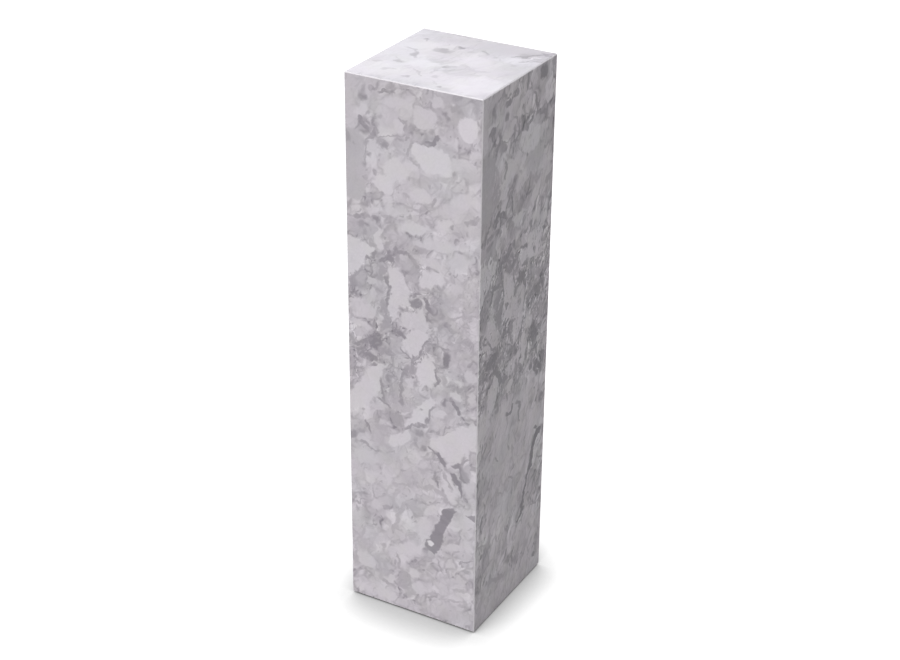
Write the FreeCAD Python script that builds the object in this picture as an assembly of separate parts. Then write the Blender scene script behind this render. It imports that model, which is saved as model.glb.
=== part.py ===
"""Square column stand: a mitred marble shell bonded to a housed plywood carcass that stands on felt glides.

Millimetres, +Z up. The origin is on the floor under the centre of the footprint. The front looks along -Y
and the right-hand side along +X. Each sub-part is one STEP file in parts/, named after its node.
"""

import FreeCAD, Part
import math
import os

# --- Overall sizes -----------------------------------------------------------------------------------------
COLUMN_SIDE = 252.0  # outside of the stone, the same both ways
COLUMN_HEIGHT = 1000.0  # floor to the top face
FLOOR_GAP = 3.0  # air between the floor and the stone's lower edge

# --- Stone shell -------------------------------------------------------------------------------------------
SLAB_THICKNESS = 20.0
SEAM_WIDTH = 0.6  # epoxy line in every mitre
ARRIS = 1.6  # bevel that eases the outer edges, measured along each face

# --- Adhesive between stone and carcass --------------------------------------------------------------------
BED_THICKNESS = 1.0
BEAD_WIDTH = 12.0
BEADS_PER_FACE = 3
BEAD_INSET = 26.0  # from the carcass's edges to the outer beads' centrelines and to every bead's ends

# --- Plywood carcass ---------------------------------------------------------------------------------------
WALL_THICKNESS = 15.0
REBATE_DEPTH = 5.0  # how deep the side walls and the base board sit in the walls that hold them
BASE_THICKNESS = 18.0
BASE_RECESS = 1.0  # how far the carcass stays above the stone's lower edge
CAP_THICKNESS = 15.0
CAP_TONGUE = 5.0  # how far the cap's middle drops between the walls
CAP_CLEARANCE = 0.2  # around that tongue
DIAPHRAGM_THICKNESS = 12.0
HOUSING_DEPTH = 4.0  # how deep the diaphragms sit in the walls
DIAPHRAGM_NAMES = ("diaphragm_lower", "diaphragm_upper")

# --- Narrow-crown staples ----------------------------------------------------------------------------------
STAPLE_LENGTH = 38.0
STAPLE_CROWN = 6.0  # outside width over both legs
WIRE_WIDTH = 1.25  # across the crown
WIRE_THICKNESS = 1.0  # along the crown
STAPLE_CLEARANCE = 0.1  # around the whole staple
STAPLES_PER_CORNER = 6  # down each upright corner of the carcass
CORNER_STAPLE_INSET = 50.0  # from the walls' ends to the first and last of them
STAPLE_SPACING = 90.0  # between the two that hold each edge of a board

# --- Felt glides -------------------------------------------------------------------------------------------
GLIDE_RADIUS = 17.5
GLIDE_INSET = 21.0  # from the base board's edges to each glide's centre
GLIDE_BEVEL = 0.5

# --- Derived sizes and levels ------------------------------------------------------------------------------
HALF_SIDE = COLUMN_SIDE / 2
CAVITY_HALF = HALF_SIDE - SLAB_THICKNESS
CAVITY_TOP = COLUMN_HEIGHT - SLAB_THICKNESS
CARCASS_HALF = CAVITY_HALF - BED_THICKNESS
CARCASS_BOTTOM = FLOOR_GAP + BASE_RECESS
CARCASS_TOP = CAVITY_TOP - BED_THICKNESS
WALL_TOP = CARCASS_TOP - CAP_THICKNESS
INSIDE_HALF = CARCASS_HALF - WALL_THICKNESS  # clear space between the walls
WALL_MIDDLE = CARCASS_HALF - WALL_THICKNESS / 2  # middle of a wall's thickness
REBATED_HALF = INSIDE_HALF + REBATE_DEPTH
BASE_TOP = CARCASS_BOTTOM + BASE_THICKNESS

ORIGIN = FreeCAD.Vector(0, 0, 0)
RIGHT = FreeCAD.Vector(1, 0, 0)
BACK = FreeCAD.Vector(0, 1, 0)
UP = FreeCAD.Vector(0, 0, 1)

# Every side is made as the front and turned by this many degrees about the column's axis.
SIDES = {"front": 0, "right": 90, "back": 180, "left": 270}
# A staple is made as it goes level into the front, and turned one of these ways.
LEVEL = FreeCAD.Rotation()
UPRIGHT = FreeCAD.Rotation(BACK, 90)
DOWNWARD = FreeCAD.Rotation(RIGHT, -90)


def box(low, high):
    """A box between two opposite corners."""
    corner, size = FreeCAD.Vector(*low), FreeCAD.Vector(*high) - FreeCAD.Vector(*low)
    return Part.makeBox(size.x, size.y, size.z, corner)


def square_block(half, bottom, top):
    """A square board or space, centred on the column's axis."""
    return box((-half, -half, bottom), (half, half, top))


def polygon_face(points):
    """A flat face inside a closed outline."""
    corners = [FreeCAD.Vector(*point) for point in points]
    return Part.Face(Part.makePolygon(corners + corners[:1]))


def turned(shape, degrees):
    """A copy of a shape, turned about the column's axis."""
    copy = shape.copy()
    copy.rotate(ORIGIN, UP, degrees)
    return copy


def spread(low, high, count):
    """Evenly spaced places from low to high, both included."""
    if count == 1:
        return [(low + high) / 2]
    return [low + (high - low) * n / (count - 1) for n in range(count)]


# --- Stone shell -------------------------------------------------------------------------------------------
def eased_outline(low, high):
    """The corner points of a rectangle whose corners are cut off by the arris bevel."""
    (left, bottom), (right, top) = low, high
    return [
        (left + ARRIS, bottom),
        (right - ARRIS, bottom),
        (right, bottom + ARRIS),
        (right, top - ARRIS),
        (right - ARRIS, top),
        (left + ARRIS, top),
        (left, top - ARRIS),
        (left, bottom + ARRIS),
    ]


def stone_envelope():
    """The whole stone with its outer edges eased: what bevelled prisms along all three axes share."""
    plan = eased_outline((-HALF_SIDE, -HALF_SIDE), (HALF_SIDE, HALF_SIDE))
    elevation = eased_outline((-HALF_SIDE, FLOOR_GAP), (HALF_SIDE, COLUMN_HEIGHT))
    footprint = polygon_face([(x, y, FLOOR_GAP) for x, y in plan])
    front_view = polygon_face([(x, -HALF_SIDE, z) for x, z in elevation])
    upright = footprint.extrude(UP * (COLUMN_HEIGHT - FLOOR_GAP))
    front_to_back = front_view.extrude(BACK * COLUMN_SIDE)
    return upright.common(front_to_back).common(turned(front_to_back, 90))


def mitred_reach(depth):
    """Half the width of a slab at a depth under its face, with half a seam left free at the mitre."""
    return HALF_SIDE - depth - SEAM_WIDTH / math.sqrt(2)


def slab_sector(bottom_outside, bottom_inside, top_outside, top_inside):
    """The front slab's share of the stone, mitred at both sides, between the given levels of its two faces.

    It starts outside the stone by the arris, so that the common with the envelope keeps the eased edges.
    """
    outside, inside = mitred_reach(-ARRIS), mitred_reach(SLAB_THICKNESS)
    front, back = -HALF_SIDE - ARRIS, -CAVITY_HALF
    near = (-outside, front, bottom_outside, bottom_inside, -inside)
    far = (outside, back, top_outside, top_inside, inside)
    return Part.makeWedge(*near, *far)


def side_sector():
    """The front slab's sector: square to the floor, and mitred at the top like the sides."""
    levels = [COLUMN_HEIGHT - HALF_SIDE + mitred_reach(depth) for depth in (-ARRIS, SLAB_THICKNESS)]
    return slab_sector(FLOOR_GAP, FLOOR_GAP, *levels)


def top_sector():
    """The top slab's sector, mitred all round: a front one tipped back about the upper front edge's line."""
    outside, inside = mitred_reach(-ARRIS), mitred_reach(SLAB_THICKNESS)
    sector = slab_sector(-outside, -inside, outside, inside)
    sector.rotate(ORIGIN, RIGHT, -90)
    return sector.translated(UP * (COLUMN_HEIGHT - HALF_SIDE))


def stone_shell():
    """The five slabs, and the epoxy that fills every mitre between them and is eased with the stone."""
    envelope = stone_envelope()
    cavity = square_block(CAVITY_HALF, FLOOR_GAP, CAVITY_TOP)
    sector = side_sector()
    parts = {f"slab_{side}": envelope.common(turned(sector, turn)) for side, turn in SIDES.items()}
    parts["slab_top"] = envelope.common(top_sector())
    parts["mitre_epoxy"] = envelope.cut([cavity, *parts.values()])
    return parts


# --- Adhesive ----------------------------------------------------------------------------------------------
def bead(length):
    """One flat upright bead with round ends: its centre is at the origin and it is as thick as the bed."""
    radius, straight = BEAD_WIDTH / 2, length / 2 - BEAD_WIDTH / 2
    corners = [(radius, -straight), (radius, straight), (-radius, straight), (-radius, -straight)]
    low_right, high_right, high_left, low_left = [FreeCAD.Vector(x, 0, z) for x, z in corners]
    tip = UP * (straight + radius)
    edges = [
        Part.LineSegment(low_right, high_right).toShape(),
        Part.Arc(high_right, tip, high_left).toShape(),
        Part.LineSegment(high_left, low_left).toShape(),
        Part.Arc(low_left, -tip, low_right).toShape(),
    ]
    return Part.Face(Part.Wire(edges)).extrude(BACK * -BED_THICKNESS)


def bead_places():
    """How far the beads' centrelines are from the middle of a face."""
    return spread(BEAD_INSET - CARCASS_HALF, CARCASS_HALF - BEAD_INSET, BEADS_PER_FACE)


def side_beads():
    """The upright beads between the carcass and the four side slabs."""
    middle = (CARCASS_BOTTOM + CARCASS_TOP) / 2
    upright = bead(CARCASS_TOP - CARCASS_BOTTOM - 2 * BEAD_INSET)
    on_front = [upright.translated(FreeCAD.Vector(x, -CARCASS_HALF, middle)) for x in bead_places()]
    return [turned(placed, degrees) for degrees in SIDES.values() for placed in on_front]


def top_beads():
    """The beads between the cap and the top slab, which lie from front to back."""
    flat = bead(2 * (CARCASS_HALF - BEAD_INSET))
    flat.rotate(ORIGIN, RIGHT, -90)
    return [flat.translated(FreeCAD.Vector(x, 0, CARCASS_TOP)) for x in bead_places()]


# --- Staples -----------------------------------------------------------------------------------------------
def staple(placement, grown=0.0):
    """A staple with its crown flush at the placement. Grown by the clearance, it cuts the slot it lies in.

    Each leg is ground off at 45 degrees, so its outer side ends short of its point by the leg's thickness.
    """
    outer = STAPLE_CROWN / 2 + grown
    inner = STAPLE_CROWN / 2 - WIRE_THICKNESS - grown
    under_crown = WIRE_THICKNESS + grown
    point = STAPLE_LENGTH + 2 * grown
    shoulder = point - (outer - inner)
    half_wire = WIRE_WIDTH / 2 + grown
    outline = [
        (-outer, 0),
        (outer, 0),
        (outer, shoulder),
        (inner, point),
        (inner, under_crown),
        (-inner, under_crown),
        (-inner, point),
        (-outer, shoulder),
    ]
    solid = polygon_face([(x, y, -half_wire) for x, y in outline]).extrude(UP * 2 * half_wire)
    solid.Placement = placement
    return solid


def staples_at(places, rotation, sides=SIDES):
    """The placements of staples at places on the front, turned to each of the given sides."""
    turns = [FreeCAD.Placement(ORIGIN, FreeCAD.Rotation(UP, SIDES[side])) for side in sides]
    return [turn * FreeCAD.Placement(FreeCAD.Vector(*place), rotation) for turn in turns for place in places]


def staple_pair():
    """How far the two staples in each edge of a board are from its middle."""
    return spread(-STAPLE_SPACING / 2, STAPLE_SPACING / 2, 2)


def edge_staples(level):
    """Level through all four walls into the edges of a board whose middle is at that level."""
    return staples_at([(x, -CARCASS_HALF, level) for x in staple_pair()], LEVEL)


def corner_staples():
    """Through the front and back walls into the ends of the side walls."""
    levels = spread(CARCASS_BOTTOM + CORNER_STAPLE_INSET, WALL_TOP - CORNER_STAPLE_INSET, STAPLES_PER_CORNER)
    places = [(x, -CARCASS_HALF, z) for x in (-WALL_MIDDLE, WALL_MIDDLE) for z in levels]
    return staples_at(places, UPRIGHT, ("front", "back"))


def base_staples():
    """Through all four walls into the base board."""
    return edge_staples(CARCASS_BOTTOM + BASE_THICKNESS / 2)


def diaphragm_staples():
    """Through all four walls into the diaphragms."""
    middles = [level + DIAPHRAGM_THICKNESS / 2 for level in diaphragm_levels()]
    return [placement for middle in middles for placement in edge_staples(middle)]


def cap_staples():
    """Down through the cap into the upper edges of all four walls."""
    return staples_at([(x, -WALL_MIDDLE, CARCASS_TOP) for x in staple_pair()], DOWNWARD)


# --- Plywood carcass ---------------------------------------------------------------------------------------
def diaphragm_levels():
    """Undersides of the diaphragms, which divide the inside into equal bays."""
    count = len(DIAPHRAGM_NAMES)
    bay = (WALL_TOP - CAP_TONGUE - BASE_TOP - count * DIAPHRAGM_THICKNESS) / (count + 1)
    return [BASE_TOP + bay + n * (bay + DIAPHRAGM_THICKNESS) for n in range(count)]


def diaphragm(level):
    """A board that keeps the walls from bowing, housed in all four of them."""
    return square_block(INSIDE_HALF + HOUSING_DEPTH, level, level + DIAPHRAGM_THICKNESS)


def cap_board():
    """The lid of the carcass: its edge lies on the walls and its tongue drops between them."""
    lid = square_block(CARCASS_HALF, WALL_TOP, CARCASS_TOP)
    tongue = square_block(INSIDE_HALF - CAP_CLEARANCE, WALL_TOP - CAP_TONGUE, WALL_TOP)
    return lid.fuse(tongue).removeSplitter()


def wide_wall():
    """The front wall before its housings: rebated down both edges for the ends of the side walls."""
    wall = box((-CARCASS_HALF, -CARCASS_HALF, CARCASS_BOTTOM), (CARCASS_HALF, -INSIDE_HALF, WALL_TOP))
    rebate = box((INSIDE_HALF, -REBATED_HALF, CARCASS_BOTTOM), (CARCASS_HALF, -INSIDE_HALF, WALL_TOP))
    return wall.cut([rebate, rebate.mirror(ORIGIN, RIGHT)])


def narrow_wall():
    """The right wall before its housings: its ends reach into the rebates of the front and back walls."""
    return box((INSIDE_HALF, -REBATED_HALF, CARCASS_BOTTOM), (CARCASS_HALF, REBATED_HALF, WALL_TOP))


def slotted(board, placements):
    """A board with the slots of the staples that pass through it or end in it."""
    return board.cut([staple(placement, STAPLE_CLEARANCE) for placement in placements])


def carcass():
    """The four walls, the base board, the diaphragms and the cap, housed in each other and stapled."""
    base = square_block(REBATED_HALF, CARCASS_BOTTOM, BASE_TOP)
    diaphragms = [diaphragm(level) for level in diaphragm_levels()]
    housings = [base, *diaphragms]
    in_walls = corner_staples() + base_staples() + diaphragm_staples() + cap_staples()
    front = slotted(wide_wall().cut(housings), in_walls)
    right = slotted(narrow_wall().cut(housings), in_walls)
    parts = {
        "carcass_front": front,
        "carcass_back": turned(front, SIDES["back"]),
        "carcass_right": right,
        "carcass_left": turned(right, SIDES["back"]),
        "base_board": slotted(base, base_staples()),
        "cap_board": slotted(cap_board(), cap_staples()),
    }
    for name, board in zip(DIAPHRAGM_NAMES, diaphragms):
        parts[name] = slotted(board, diaphragm_staples())
    return parts


# --- Feet --------------------------------------------------------------------------------------------------
def felt_glide():
    """One round glide from the floor to the underside of the base board, with its lower rim bevelled."""
    disc = Part.makeCylinder(GLIDE_RADIUS, CARCASS_BOTTOM)
    lower_rim = [edge for edge in disc.Edges if edge.BoundBox.ZMax < CARCASS_BOTTOM / 2]
    return disc.makeChamfer(GLIDE_BEVEL, lower_rim)


def felt_glides():
    """A glide near each corner of the base board."""
    reach = REBATED_HALF - GLIDE_INSET
    return {
        f"felt_glide_{depth}_{width}": felt_glide().translated(FreeCAD.Vector(x, y, 0))
        for depth, y in (("front", -reach), ("back", reach))
        for width, x in (("left", -reach), ("right", reach))
    }


# --- Output ------------------------------------------------------------------------------------------------
def column():
    """Every node by name. Beads and staples are groups of separate solids."""
    parts = stone_shell()
    parts["bedding_adhesive"] = Part.makeCompound(side_beads() + top_beads())
    parts.update(carcass())
    joints = {
        "corner_staples": corner_staples(),
        "base_staples": base_staples(),
        "diaphragm_staples": diaphragm_staples(),
        "cap_staples": cap_staples(),
    }
    for name, placements in joints.items():
        parts[name] = Part.makeCompound([staple(placement) for placement in placements])
    parts.update(felt_glides())
    return parts


os.makedirs("parts", exist_ok=True)
for node, shape in column().items():
    shape.exportStep(f"parts/{node}.step")
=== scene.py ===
"""Looks of a square pedestal column in brecciated marble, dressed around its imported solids."""

from __future__ import annotations

import logging
import math
from dataclasses import dataclass
from enum import Enum
from typing import Any, Iterable, Mapping

import bmesh
import bpy
from mathutils import Matrix, Vector, noise


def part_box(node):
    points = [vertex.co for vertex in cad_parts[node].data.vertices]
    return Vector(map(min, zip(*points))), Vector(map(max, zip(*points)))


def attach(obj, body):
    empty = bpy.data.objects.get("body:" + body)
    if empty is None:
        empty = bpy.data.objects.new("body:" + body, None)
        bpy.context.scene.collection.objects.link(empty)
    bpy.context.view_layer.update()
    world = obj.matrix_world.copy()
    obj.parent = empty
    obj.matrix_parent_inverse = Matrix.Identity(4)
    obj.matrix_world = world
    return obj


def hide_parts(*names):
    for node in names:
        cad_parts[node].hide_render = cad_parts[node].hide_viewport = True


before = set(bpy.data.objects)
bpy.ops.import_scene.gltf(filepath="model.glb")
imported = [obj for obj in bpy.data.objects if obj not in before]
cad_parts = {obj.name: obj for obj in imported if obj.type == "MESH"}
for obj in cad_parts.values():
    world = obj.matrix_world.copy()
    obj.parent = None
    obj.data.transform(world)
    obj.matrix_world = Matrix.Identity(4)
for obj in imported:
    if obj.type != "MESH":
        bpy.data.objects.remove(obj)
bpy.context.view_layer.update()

LOG = logging.getLogger("column")
ROOT_BODY = "root"
MM_PER_M = 1000.0
HALF_SIDE_MM = 126.0
EVERY_DEPTH = 1.0e6
SOFTEST_EDGE = 0.95
DEEPEST_TONE = -0.3
PALEST_TONE = 1.25
NOISE_SPAN = (0.3, 0.7)
LAYER_SIZE = 24
NUDGE_MM = (0.8, 0.6, 0.0)
NUDGE_LEVEL = 0.8
RIGHT_BROAD = 10

Pair = tuple[float, float]
Triple = tuple[float, float, float]
Colour = tuple[float, float, float, float]

ORIGIN: Triple = (0.0, 0.0, 0.0)
CENTRE: Triple = (0.5, 0.5, 0.5)
EVEN: Triple = (1.0, 1.0, 1.0)
WHITE: Colour = (1.0, 1.0, 1.0, 1.0)


def linear(red: float, green: float, blue: float) -> Colour:
    """Turn a colour as a screen shows it into the linear colour that a shader takes.

    Args:
        red: Red from 0 to 255.
        green: Green from 0 to 255.
        blue: Blue from 0 to 255.

    Returns:
        The linear colour with an alpha of 1.
    """
    screen_gamma = 2.4
    toe_end = 0.04045
    toe_slope = 12.92
    offset = 0.055
    full_level = 255.0
    parts = []
    for level in (red, green, blue):
        share = level / full_level
        if share <= toe_end:
            parts.append(share / toe_slope)
        else:
            parts.append(((share + offset) / (1.0 + offset)) ** screen_gamma)
    return (parts[0], parts[1], parts[2], 1.0)


class Wire:
    """An output socket of a shader tree that Python's operators work on."""

    def __init__(self, bench: "Bench", socket: bpy.types.NodeSocket) -> None:
        """Keep the tree's bench and the socket."""
        self.bench = bench
        self.socket = socket

    def _with(self, operation: str, first: Any, second: Any) -> "Wire":
        """Add the Math or Vector Math node of one operation.

        Args:
            operation: The node's operation.
            first: Its first value.
            second: Its second value.

        Returns:
            The node's output.
        """
        vector = self.socket.type in ("VECTOR", "RGBA")
        kind = "ShaderNodeVectorMath" if vector else "ShaderNodeMath"
        return self.bench.add(kind, {"operation": operation}, {0: first, 1: second})

    def __add__(self, other: Any) -> "Wire":
        """Add."""
        return self._with("ADD", self, other)

    def __sub__(self, other: Any) -> "Wire":
        """Subtract."""
        return self._with("SUBTRACT", self, other)

    def __mul__(self, other: Any) -> "Wire":
        """Multiply."""
        return self._with("MULTIPLY", self, other)

    def __pow__(self, other: float) -> "Wire":
        """Raise to a power."""
        return self._with("POWER", self, other)

    def at_least(self, other: Any) -> "Wire":
        """Take the larger of two."""
        return self._with("MAXIMUM", self, other)

    def blend(self, other: "Wire", share: float) -> "Wire":
        """Blend with another, keeping a share of this one.

        Args:
            other: The other number.
            share: The share that is kept.

        Returns:
            The blend.
        """
        return self * share + other * (1.0 - share)

    def between(self, low: float, high: float, to_low: float = 0.0, to_high: float = 1.0) -> "Wire":
        """Map a range of values smoothly onto another.

        Args:
            low: Where the first range starts. It may be above high.
            high: Where it ends.
            to_low: The value at low and beyond it.
            to_high: The value at high and beyond it.

        Returns:
            The mapped value.
        """
        falling = low > high
        ends = (high, low) if falling else (low, high)
        values = (to_high, to_low) if falling else (to_low, to_high)
        sockets = {"Value": self, 1: ends[0], 2: ends[1], 3: values[0], 4: values[1]}
        settings = {"interpolation_type": "SMOOTHSTEP", "clamp": False}
        return self.bench.add("ShaderNodeMapRange", settings, sockets)


class Bench:
    """One shader tree and the means to fill it."""

    def __init__(self, tree: bpy.types.ShaderNodeTree) -> None:
        """Keep the tree."""
        self.tree = tree

    def node(self, kind: str, settings: Mapping[str, Any], sockets: Mapping[Any, Any]) -> Any:
        """Add a node, set it up and give its sockets values or links.

        Args:
            kind: The node's type.
            settings: Its properties, and a ramp's stops under "stops".
            sockets: Values, colours or wires by socket name or number.

        Returns:
            The node.
        """
        node = self.tree.nodes.new(kind)
        for name, value in settings.items():
            if name == "stops":
                self._set_stops(node.color_ramp, value)
            else:
                setattr(node, name, value)
        for key, value in sockets.items():
            if isinstance(value, Wire):
                self.tree.links.new(value.socket, node.inputs[key])
            else:
                node.inputs[key].default_value = value
        return node

    def add(
        self,
        kind: str,
        settings: Mapping[str, Any] | None = None,
        sockets: Mapping[Any, Any] | None = None,
        out: str | int = 0,
    ) -> Wire:
        """Add a node and return one of its outputs.

        Args:
            kind: The node's type.
            settings: Its properties.
            sockets: The values or wires of its inputs.
            out: Which output.

        Returns:
            That output.
        """
        return Wire(self, self.node(kind, settings or {}, sockets or {}).outputs[out])

    @staticmethod
    def _set_stops(ramp: bpy.types.ColorRamp, stops: Iterable[tuple[float, Any]]) -> None:
        """Give a ramp its stops in order.

        Args:
            ramp: The ramp, with its two first stops.
            stops: Place and colour of each.
        """
        given = len(ramp.elements)
        for number, (place, colour) in enumerate(stops):
            if number < given:
                stop = ramp.elements[number]
                stop.position = place
            else:
                stop = ramp.elements.new(place)
            stop.color = colour

    def place_mm(self) -> Wire:
        """Give the place on the object in millimetres."""
        return self.add("ShaderNodeTexCoord", {}, {}, "Object") * (MM_PER_M, MM_PER_M, MM_PER_M)

    def bumped(self, height: Wire, strength: float, depth_mm: float) -> Wire:
        """Turn a height into a normal.

        Args:
            height: The height, from 0 to 1.
            strength: How much of it shows.
            depth_mm: How deep a height of 1 is.

        Returns:
            The normal.
        """
        sockets = {"Strength": strength, "Distance": depth_mm / MM_PER_M, "Height": height}
        return self.add("ShaderNodeBump", {}, sockets)

    def surface(self, sockets: Mapping[Any, Any]) -> None:
        """End the tree in a Principled surface.

        Args:
            sockets: The surface's values and wires.
        """
        shader = self.add("ShaderNodeBsdfPrincipled", {}, sockets)
        self.node("ShaderNodeOutputMaterial", {}, {"Surface": shader})

    def mapped(self, vector: Wire, move: Triple, turn: Triple, scale: Triple, how: str = "POINT") -> Wire:
        """Move, turn and scale a vector.

        Args:
            vector: The vector.
            move: Location of the Mapping node.
            turn: Its rotation in degrees.
            scale: Its scale.
            how: Its type.

        Returns:
            The mapped vector.
        """
        radians = tuple(math.radians(angle) for angle in turn)
        sockets = {"Vector": vector, "Location": move, "Rotation": radians, "Scale": scale}
        return self.add("ShaderNodeMapping", {"vector_type": how}, sockets)

    def split(self, vector: Wire) -> tuple[Wire, ...]:
        """Part a vector into its numbers.

        Args:
            vector: The vector.

        Returns:
            Its X, Y and Z.
        """
        node = self.node("ShaderNodeSeparateXYZ", {}, {0: vector})
        return tuple(Wire(self, part) for part in node.outputs)

    def cells(self, vector: Wire, size_mm: float, feature: str, out: str, **sockets: float) -> Wire:
        """Make Voronoi cells of a given size.

        Args:
            vector: Place in millimetres.
            size_mm: Size of a cell.
            feature: What is made of the cells: F1, SMOOTH_F1 or DISTANCE_TO_EDGE.
            out: Color or Distance.
            sockets: Other values by the name of their input.

        Returns:
            The colour of each cell or a distance.
        """
        values = {"Vector": vector, "Scale": 1.0 / size_mm, **sockets}
        return self.add("ShaderNodeTexVoronoi", {"feature": feature}, values, out)

    def noise(self, vector: Wire, grain_mm: float, detail: float = 2.0, out: str = "Fac") -> Wire:
        """Make noise whose grain has a given size.

        Args:
            vector: Place in millimetres.
            grain_mm: Size of the grain.
            detail: How many finer octaves.
            out: Fac or Color.

        Returns:
            The noise.
        """
        sockets = {"Vector": vector, "Scale": 1.0 / grain_mm, "Detail": detail}
        return self.add("ShaderNodeTexNoise", {}, sockets, out)

    def mix(self, factor: Any, first: Any, second: Any) -> Wire:
        """Blend two numbers.

        Args:
            factor: Share of the second.
            first: The first number.
            second: The second number.

        Returns:
            The blend.
        """
        return self.add("ShaderNodeMix", {"data_type": "FLOAT"}, {0: factor, 2: first, 3: second})

    def tint(self, factor: Any, first: Any, second: Any, blend: str = "MIX") -> Wire:
        """Blend two colours.

        Args:
            factor: Share of the second.
            first: The first colour.
            second: The second colour.
            blend: The blend type.

        Returns:
            The blended colour.
        """
        settings = {"data_type": "RGBA", "blend_type": blend}
        return self.add("ShaderNodeMix", settings, {0: factor, 6: first, 7: second}, 2)


class Form(Enum):
    """How a mark in the stone ends at its edge."""

    OVAL = "oval"
    BLOCK = "block"


@dataclass(frozen=True)
class Spot:
    """A rounded mark in the stone's face.

    Places are millimetres across from the face's left and up from its lower edge. A tone of 1 is pale stone
    and a tone of 0 dark stone. A tone may lie a little beyond either.
    """

    across: float
    up: float
    wide: float
    high: float
    turn: float
    tone: float
    soft: float = 3.2
    strength: float = 0.9
    form: Form = Form.OVAL

    @property
    def height(self) -> float:
        """How far up the face the mark lies."""
        return self.up

    def paint(self, bench: Bench, place: Wire, tone: Wire) -> Wire:
        """Lay the mark over what is painted so far.

        Args:
            bench: The tree's bench.
            place: Place on the face in millimetres.
            tone: The tone so far.

        Returns:
            The tone with the mark on it.
        """
        scale = (self.wide, self.high, EVERY_DEPTH)
        own = bench.mapped(place, (self.across, self.up, 0.0), (0.0, 0.0, self.turn), scale, "TEXTURE")
        if self.form is Form.BLOCK:
            own = own * own
        reach = bench.add("ShaderNodeVectorMath", {"operation": "LENGTH"}, {0: own}, "Value")
        edge = min(SOFTEST_EDGE, self.soft / min(self.wide, self.high))
        mask = reach.between(1.0 + edge, 1.0 - edge, 0.0, self.strength)
        return bench.mix(mask, tone, self.tone)


@dataclass(frozen=True)
class Vein:
    """A line in the stone, drawn as one long mark between each two of its points."""

    points: tuple[Pair, ...]
    width: float
    tone: float
    soft: float = 2.1
    strength: float = 0.9

    @property
    def height(self) -> float:
        """How far up the face the line starts."""
        return self.points[0][1]

    def spots(self) -> Iterable[Spot]:
        """Give the marks that the line is made of."""
        end_share = 0.35
        for (u0, v0), (u1, v1) in zip(self.points, self.points[1:]):
            half = math.dist((u0, v0), (u1, v1)) / 2.0 + end_share * self.width
            turn = math.degrees(math.atan2(v1 - v0, u1 - u0))
            middle = ((u0 + u1) / 2.0, (v0 + v1) / 2.0)
            thin = self.width / 2.0
            yield Spot(*middle, half, thin, turn, self.tone, self.soft, self.strength, Form.BLOCK)

    def paint(self, bench: Bench, place: Wire, tone: Wire) -> Wire:
        """Lay the line over what is painted so far.

        Args:
            bench: The tree's bench.
            place: Place on the face in millimetres.
            tone: The tone so far.

        Returns:
            The tone with the line on it.
        """
        for spot in self.spots():
            tone = spot.paint(bench, place, tone)
        return tone


@dataclass(frozen=True)
class Shard:
    """An angular fragment with straight sides, given by its corners in order, clockwise or not."""

    corners: tuple[Pair, ...]
    tone: float
    soft: float = 2.8
    strength: float = 0.9

    @property
    def height(self) -> float:
        """How far up the face the fragment's first corner lies."""
        return self.corners[0][1]

    def paint(self, bench: Bench, place: Wire, tone: Wire) -> Wire:
        """Lay the fragment over what is painted so far.

        Args:
            bench: The tree's bench.
            place: Place on the face in millimetres.
            tone: The tone so far.

        Returns:
            The tone with the fragment on it.
        """
        mid_u = sum(corner[0] for corner in self.corners) / len(self.corners)
        mid_v = sum(corner[1] for corner in self.corners) / len(self.corners)
        beyond = None
        for (u0, v0), (u1, v1) in zip(self.corners, self.corners[1:] + self.corners[:1]):
            outward = Vector((v1 - v0, u0 - u1, 0.0)).normalized()
            if outward.dot(Vector((u0 - mid_u, v0 - mid_v, 0.0))) < 0.0:
                outward.negate()
            sockets = {0: place, 1: tuple(outward)}
            along = bench.add("ShaderNodeVectorMath", {"operation": "DOT_PRODUCT"}, sockets, "Value")
            past = along - outward.dot(Vector((u0, v0, 0.0)))
            beyond = past if beyond is None else beyond.at_least(past)
        mask = beyond.between(self.soft, -self.soft, 0.0, self.strength)
        return bench.mix(mask, tone, self.tone)


@dataclass(frozen=True)
class Layer:
    """Marks that are laid on together, as one group of nodes that every slab with this figure uses."""

    name: str
    marks: tuple[Any, ...]
    worn: bool = False

    def group(self) -> bpy.types.ShaderNodeTree:
        """Give the layer's group, and build it the first time.

        Returns:
            The group, with Place and Tone in and Tone out.
        """
        found = bpy.data.node_groups.get(self.name)
        if found is not None:
            return found
        tree = bpy.data.node_groups.new(self.name, "ShaderNodeTree")
        tree.interface.new_socket("Place", in_out="INPUT", socket_type="NodeSocketVector")
        tree.interface.new_socket("Tone", in_out="INPUT", socket_type="NodeSocketFloat")
        tree.interface.new_socket("Tone", in_out="OUTPUT", socket_type="NodeSocketFloat")
        bench = Bench(tree)
        ends = bench.node("NodeGroupInput", {}, {})
        place = Wire(bench, ends.outputs["Place"])
        tone = Wire(bench, ends.outputs["Tone"])
        for mark in self.marks:
            tone = mark.paint(bench, place, tone)
        bench.node("NodeGroupOutput", {}, {"Tone": tone})
        return tree

    def paint(self, bench: Bench, place: Wire, tone: Wire, patch: Wire) -> Wire:
        """Lay all the marks over what is painted so far, each nudged a little by the stone under it.

        Args:
            bench: The tree's bench.
            place: Place on the face in millimetres.
            tone: The tone so far.
            patch: How much of a worn layer is left at each place.

        Returns:
            The tone with the marks on it.
        """
        scale = {0: NUDGE_MM, "Scale": tone - NUDGE_LEVEL}
        nudge = bench.add("ShaderNodeVectorMath", {"operation": "SCALE"}, scale)
        sockets = {"Place": place + nudge, "Tone": tone}
        painted = bench.add("ShaderNodeGroup", {"node_tree": self.group()}, sockets)
        return bench.mix(patch, tone, painted) if self.worn else painted


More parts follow.
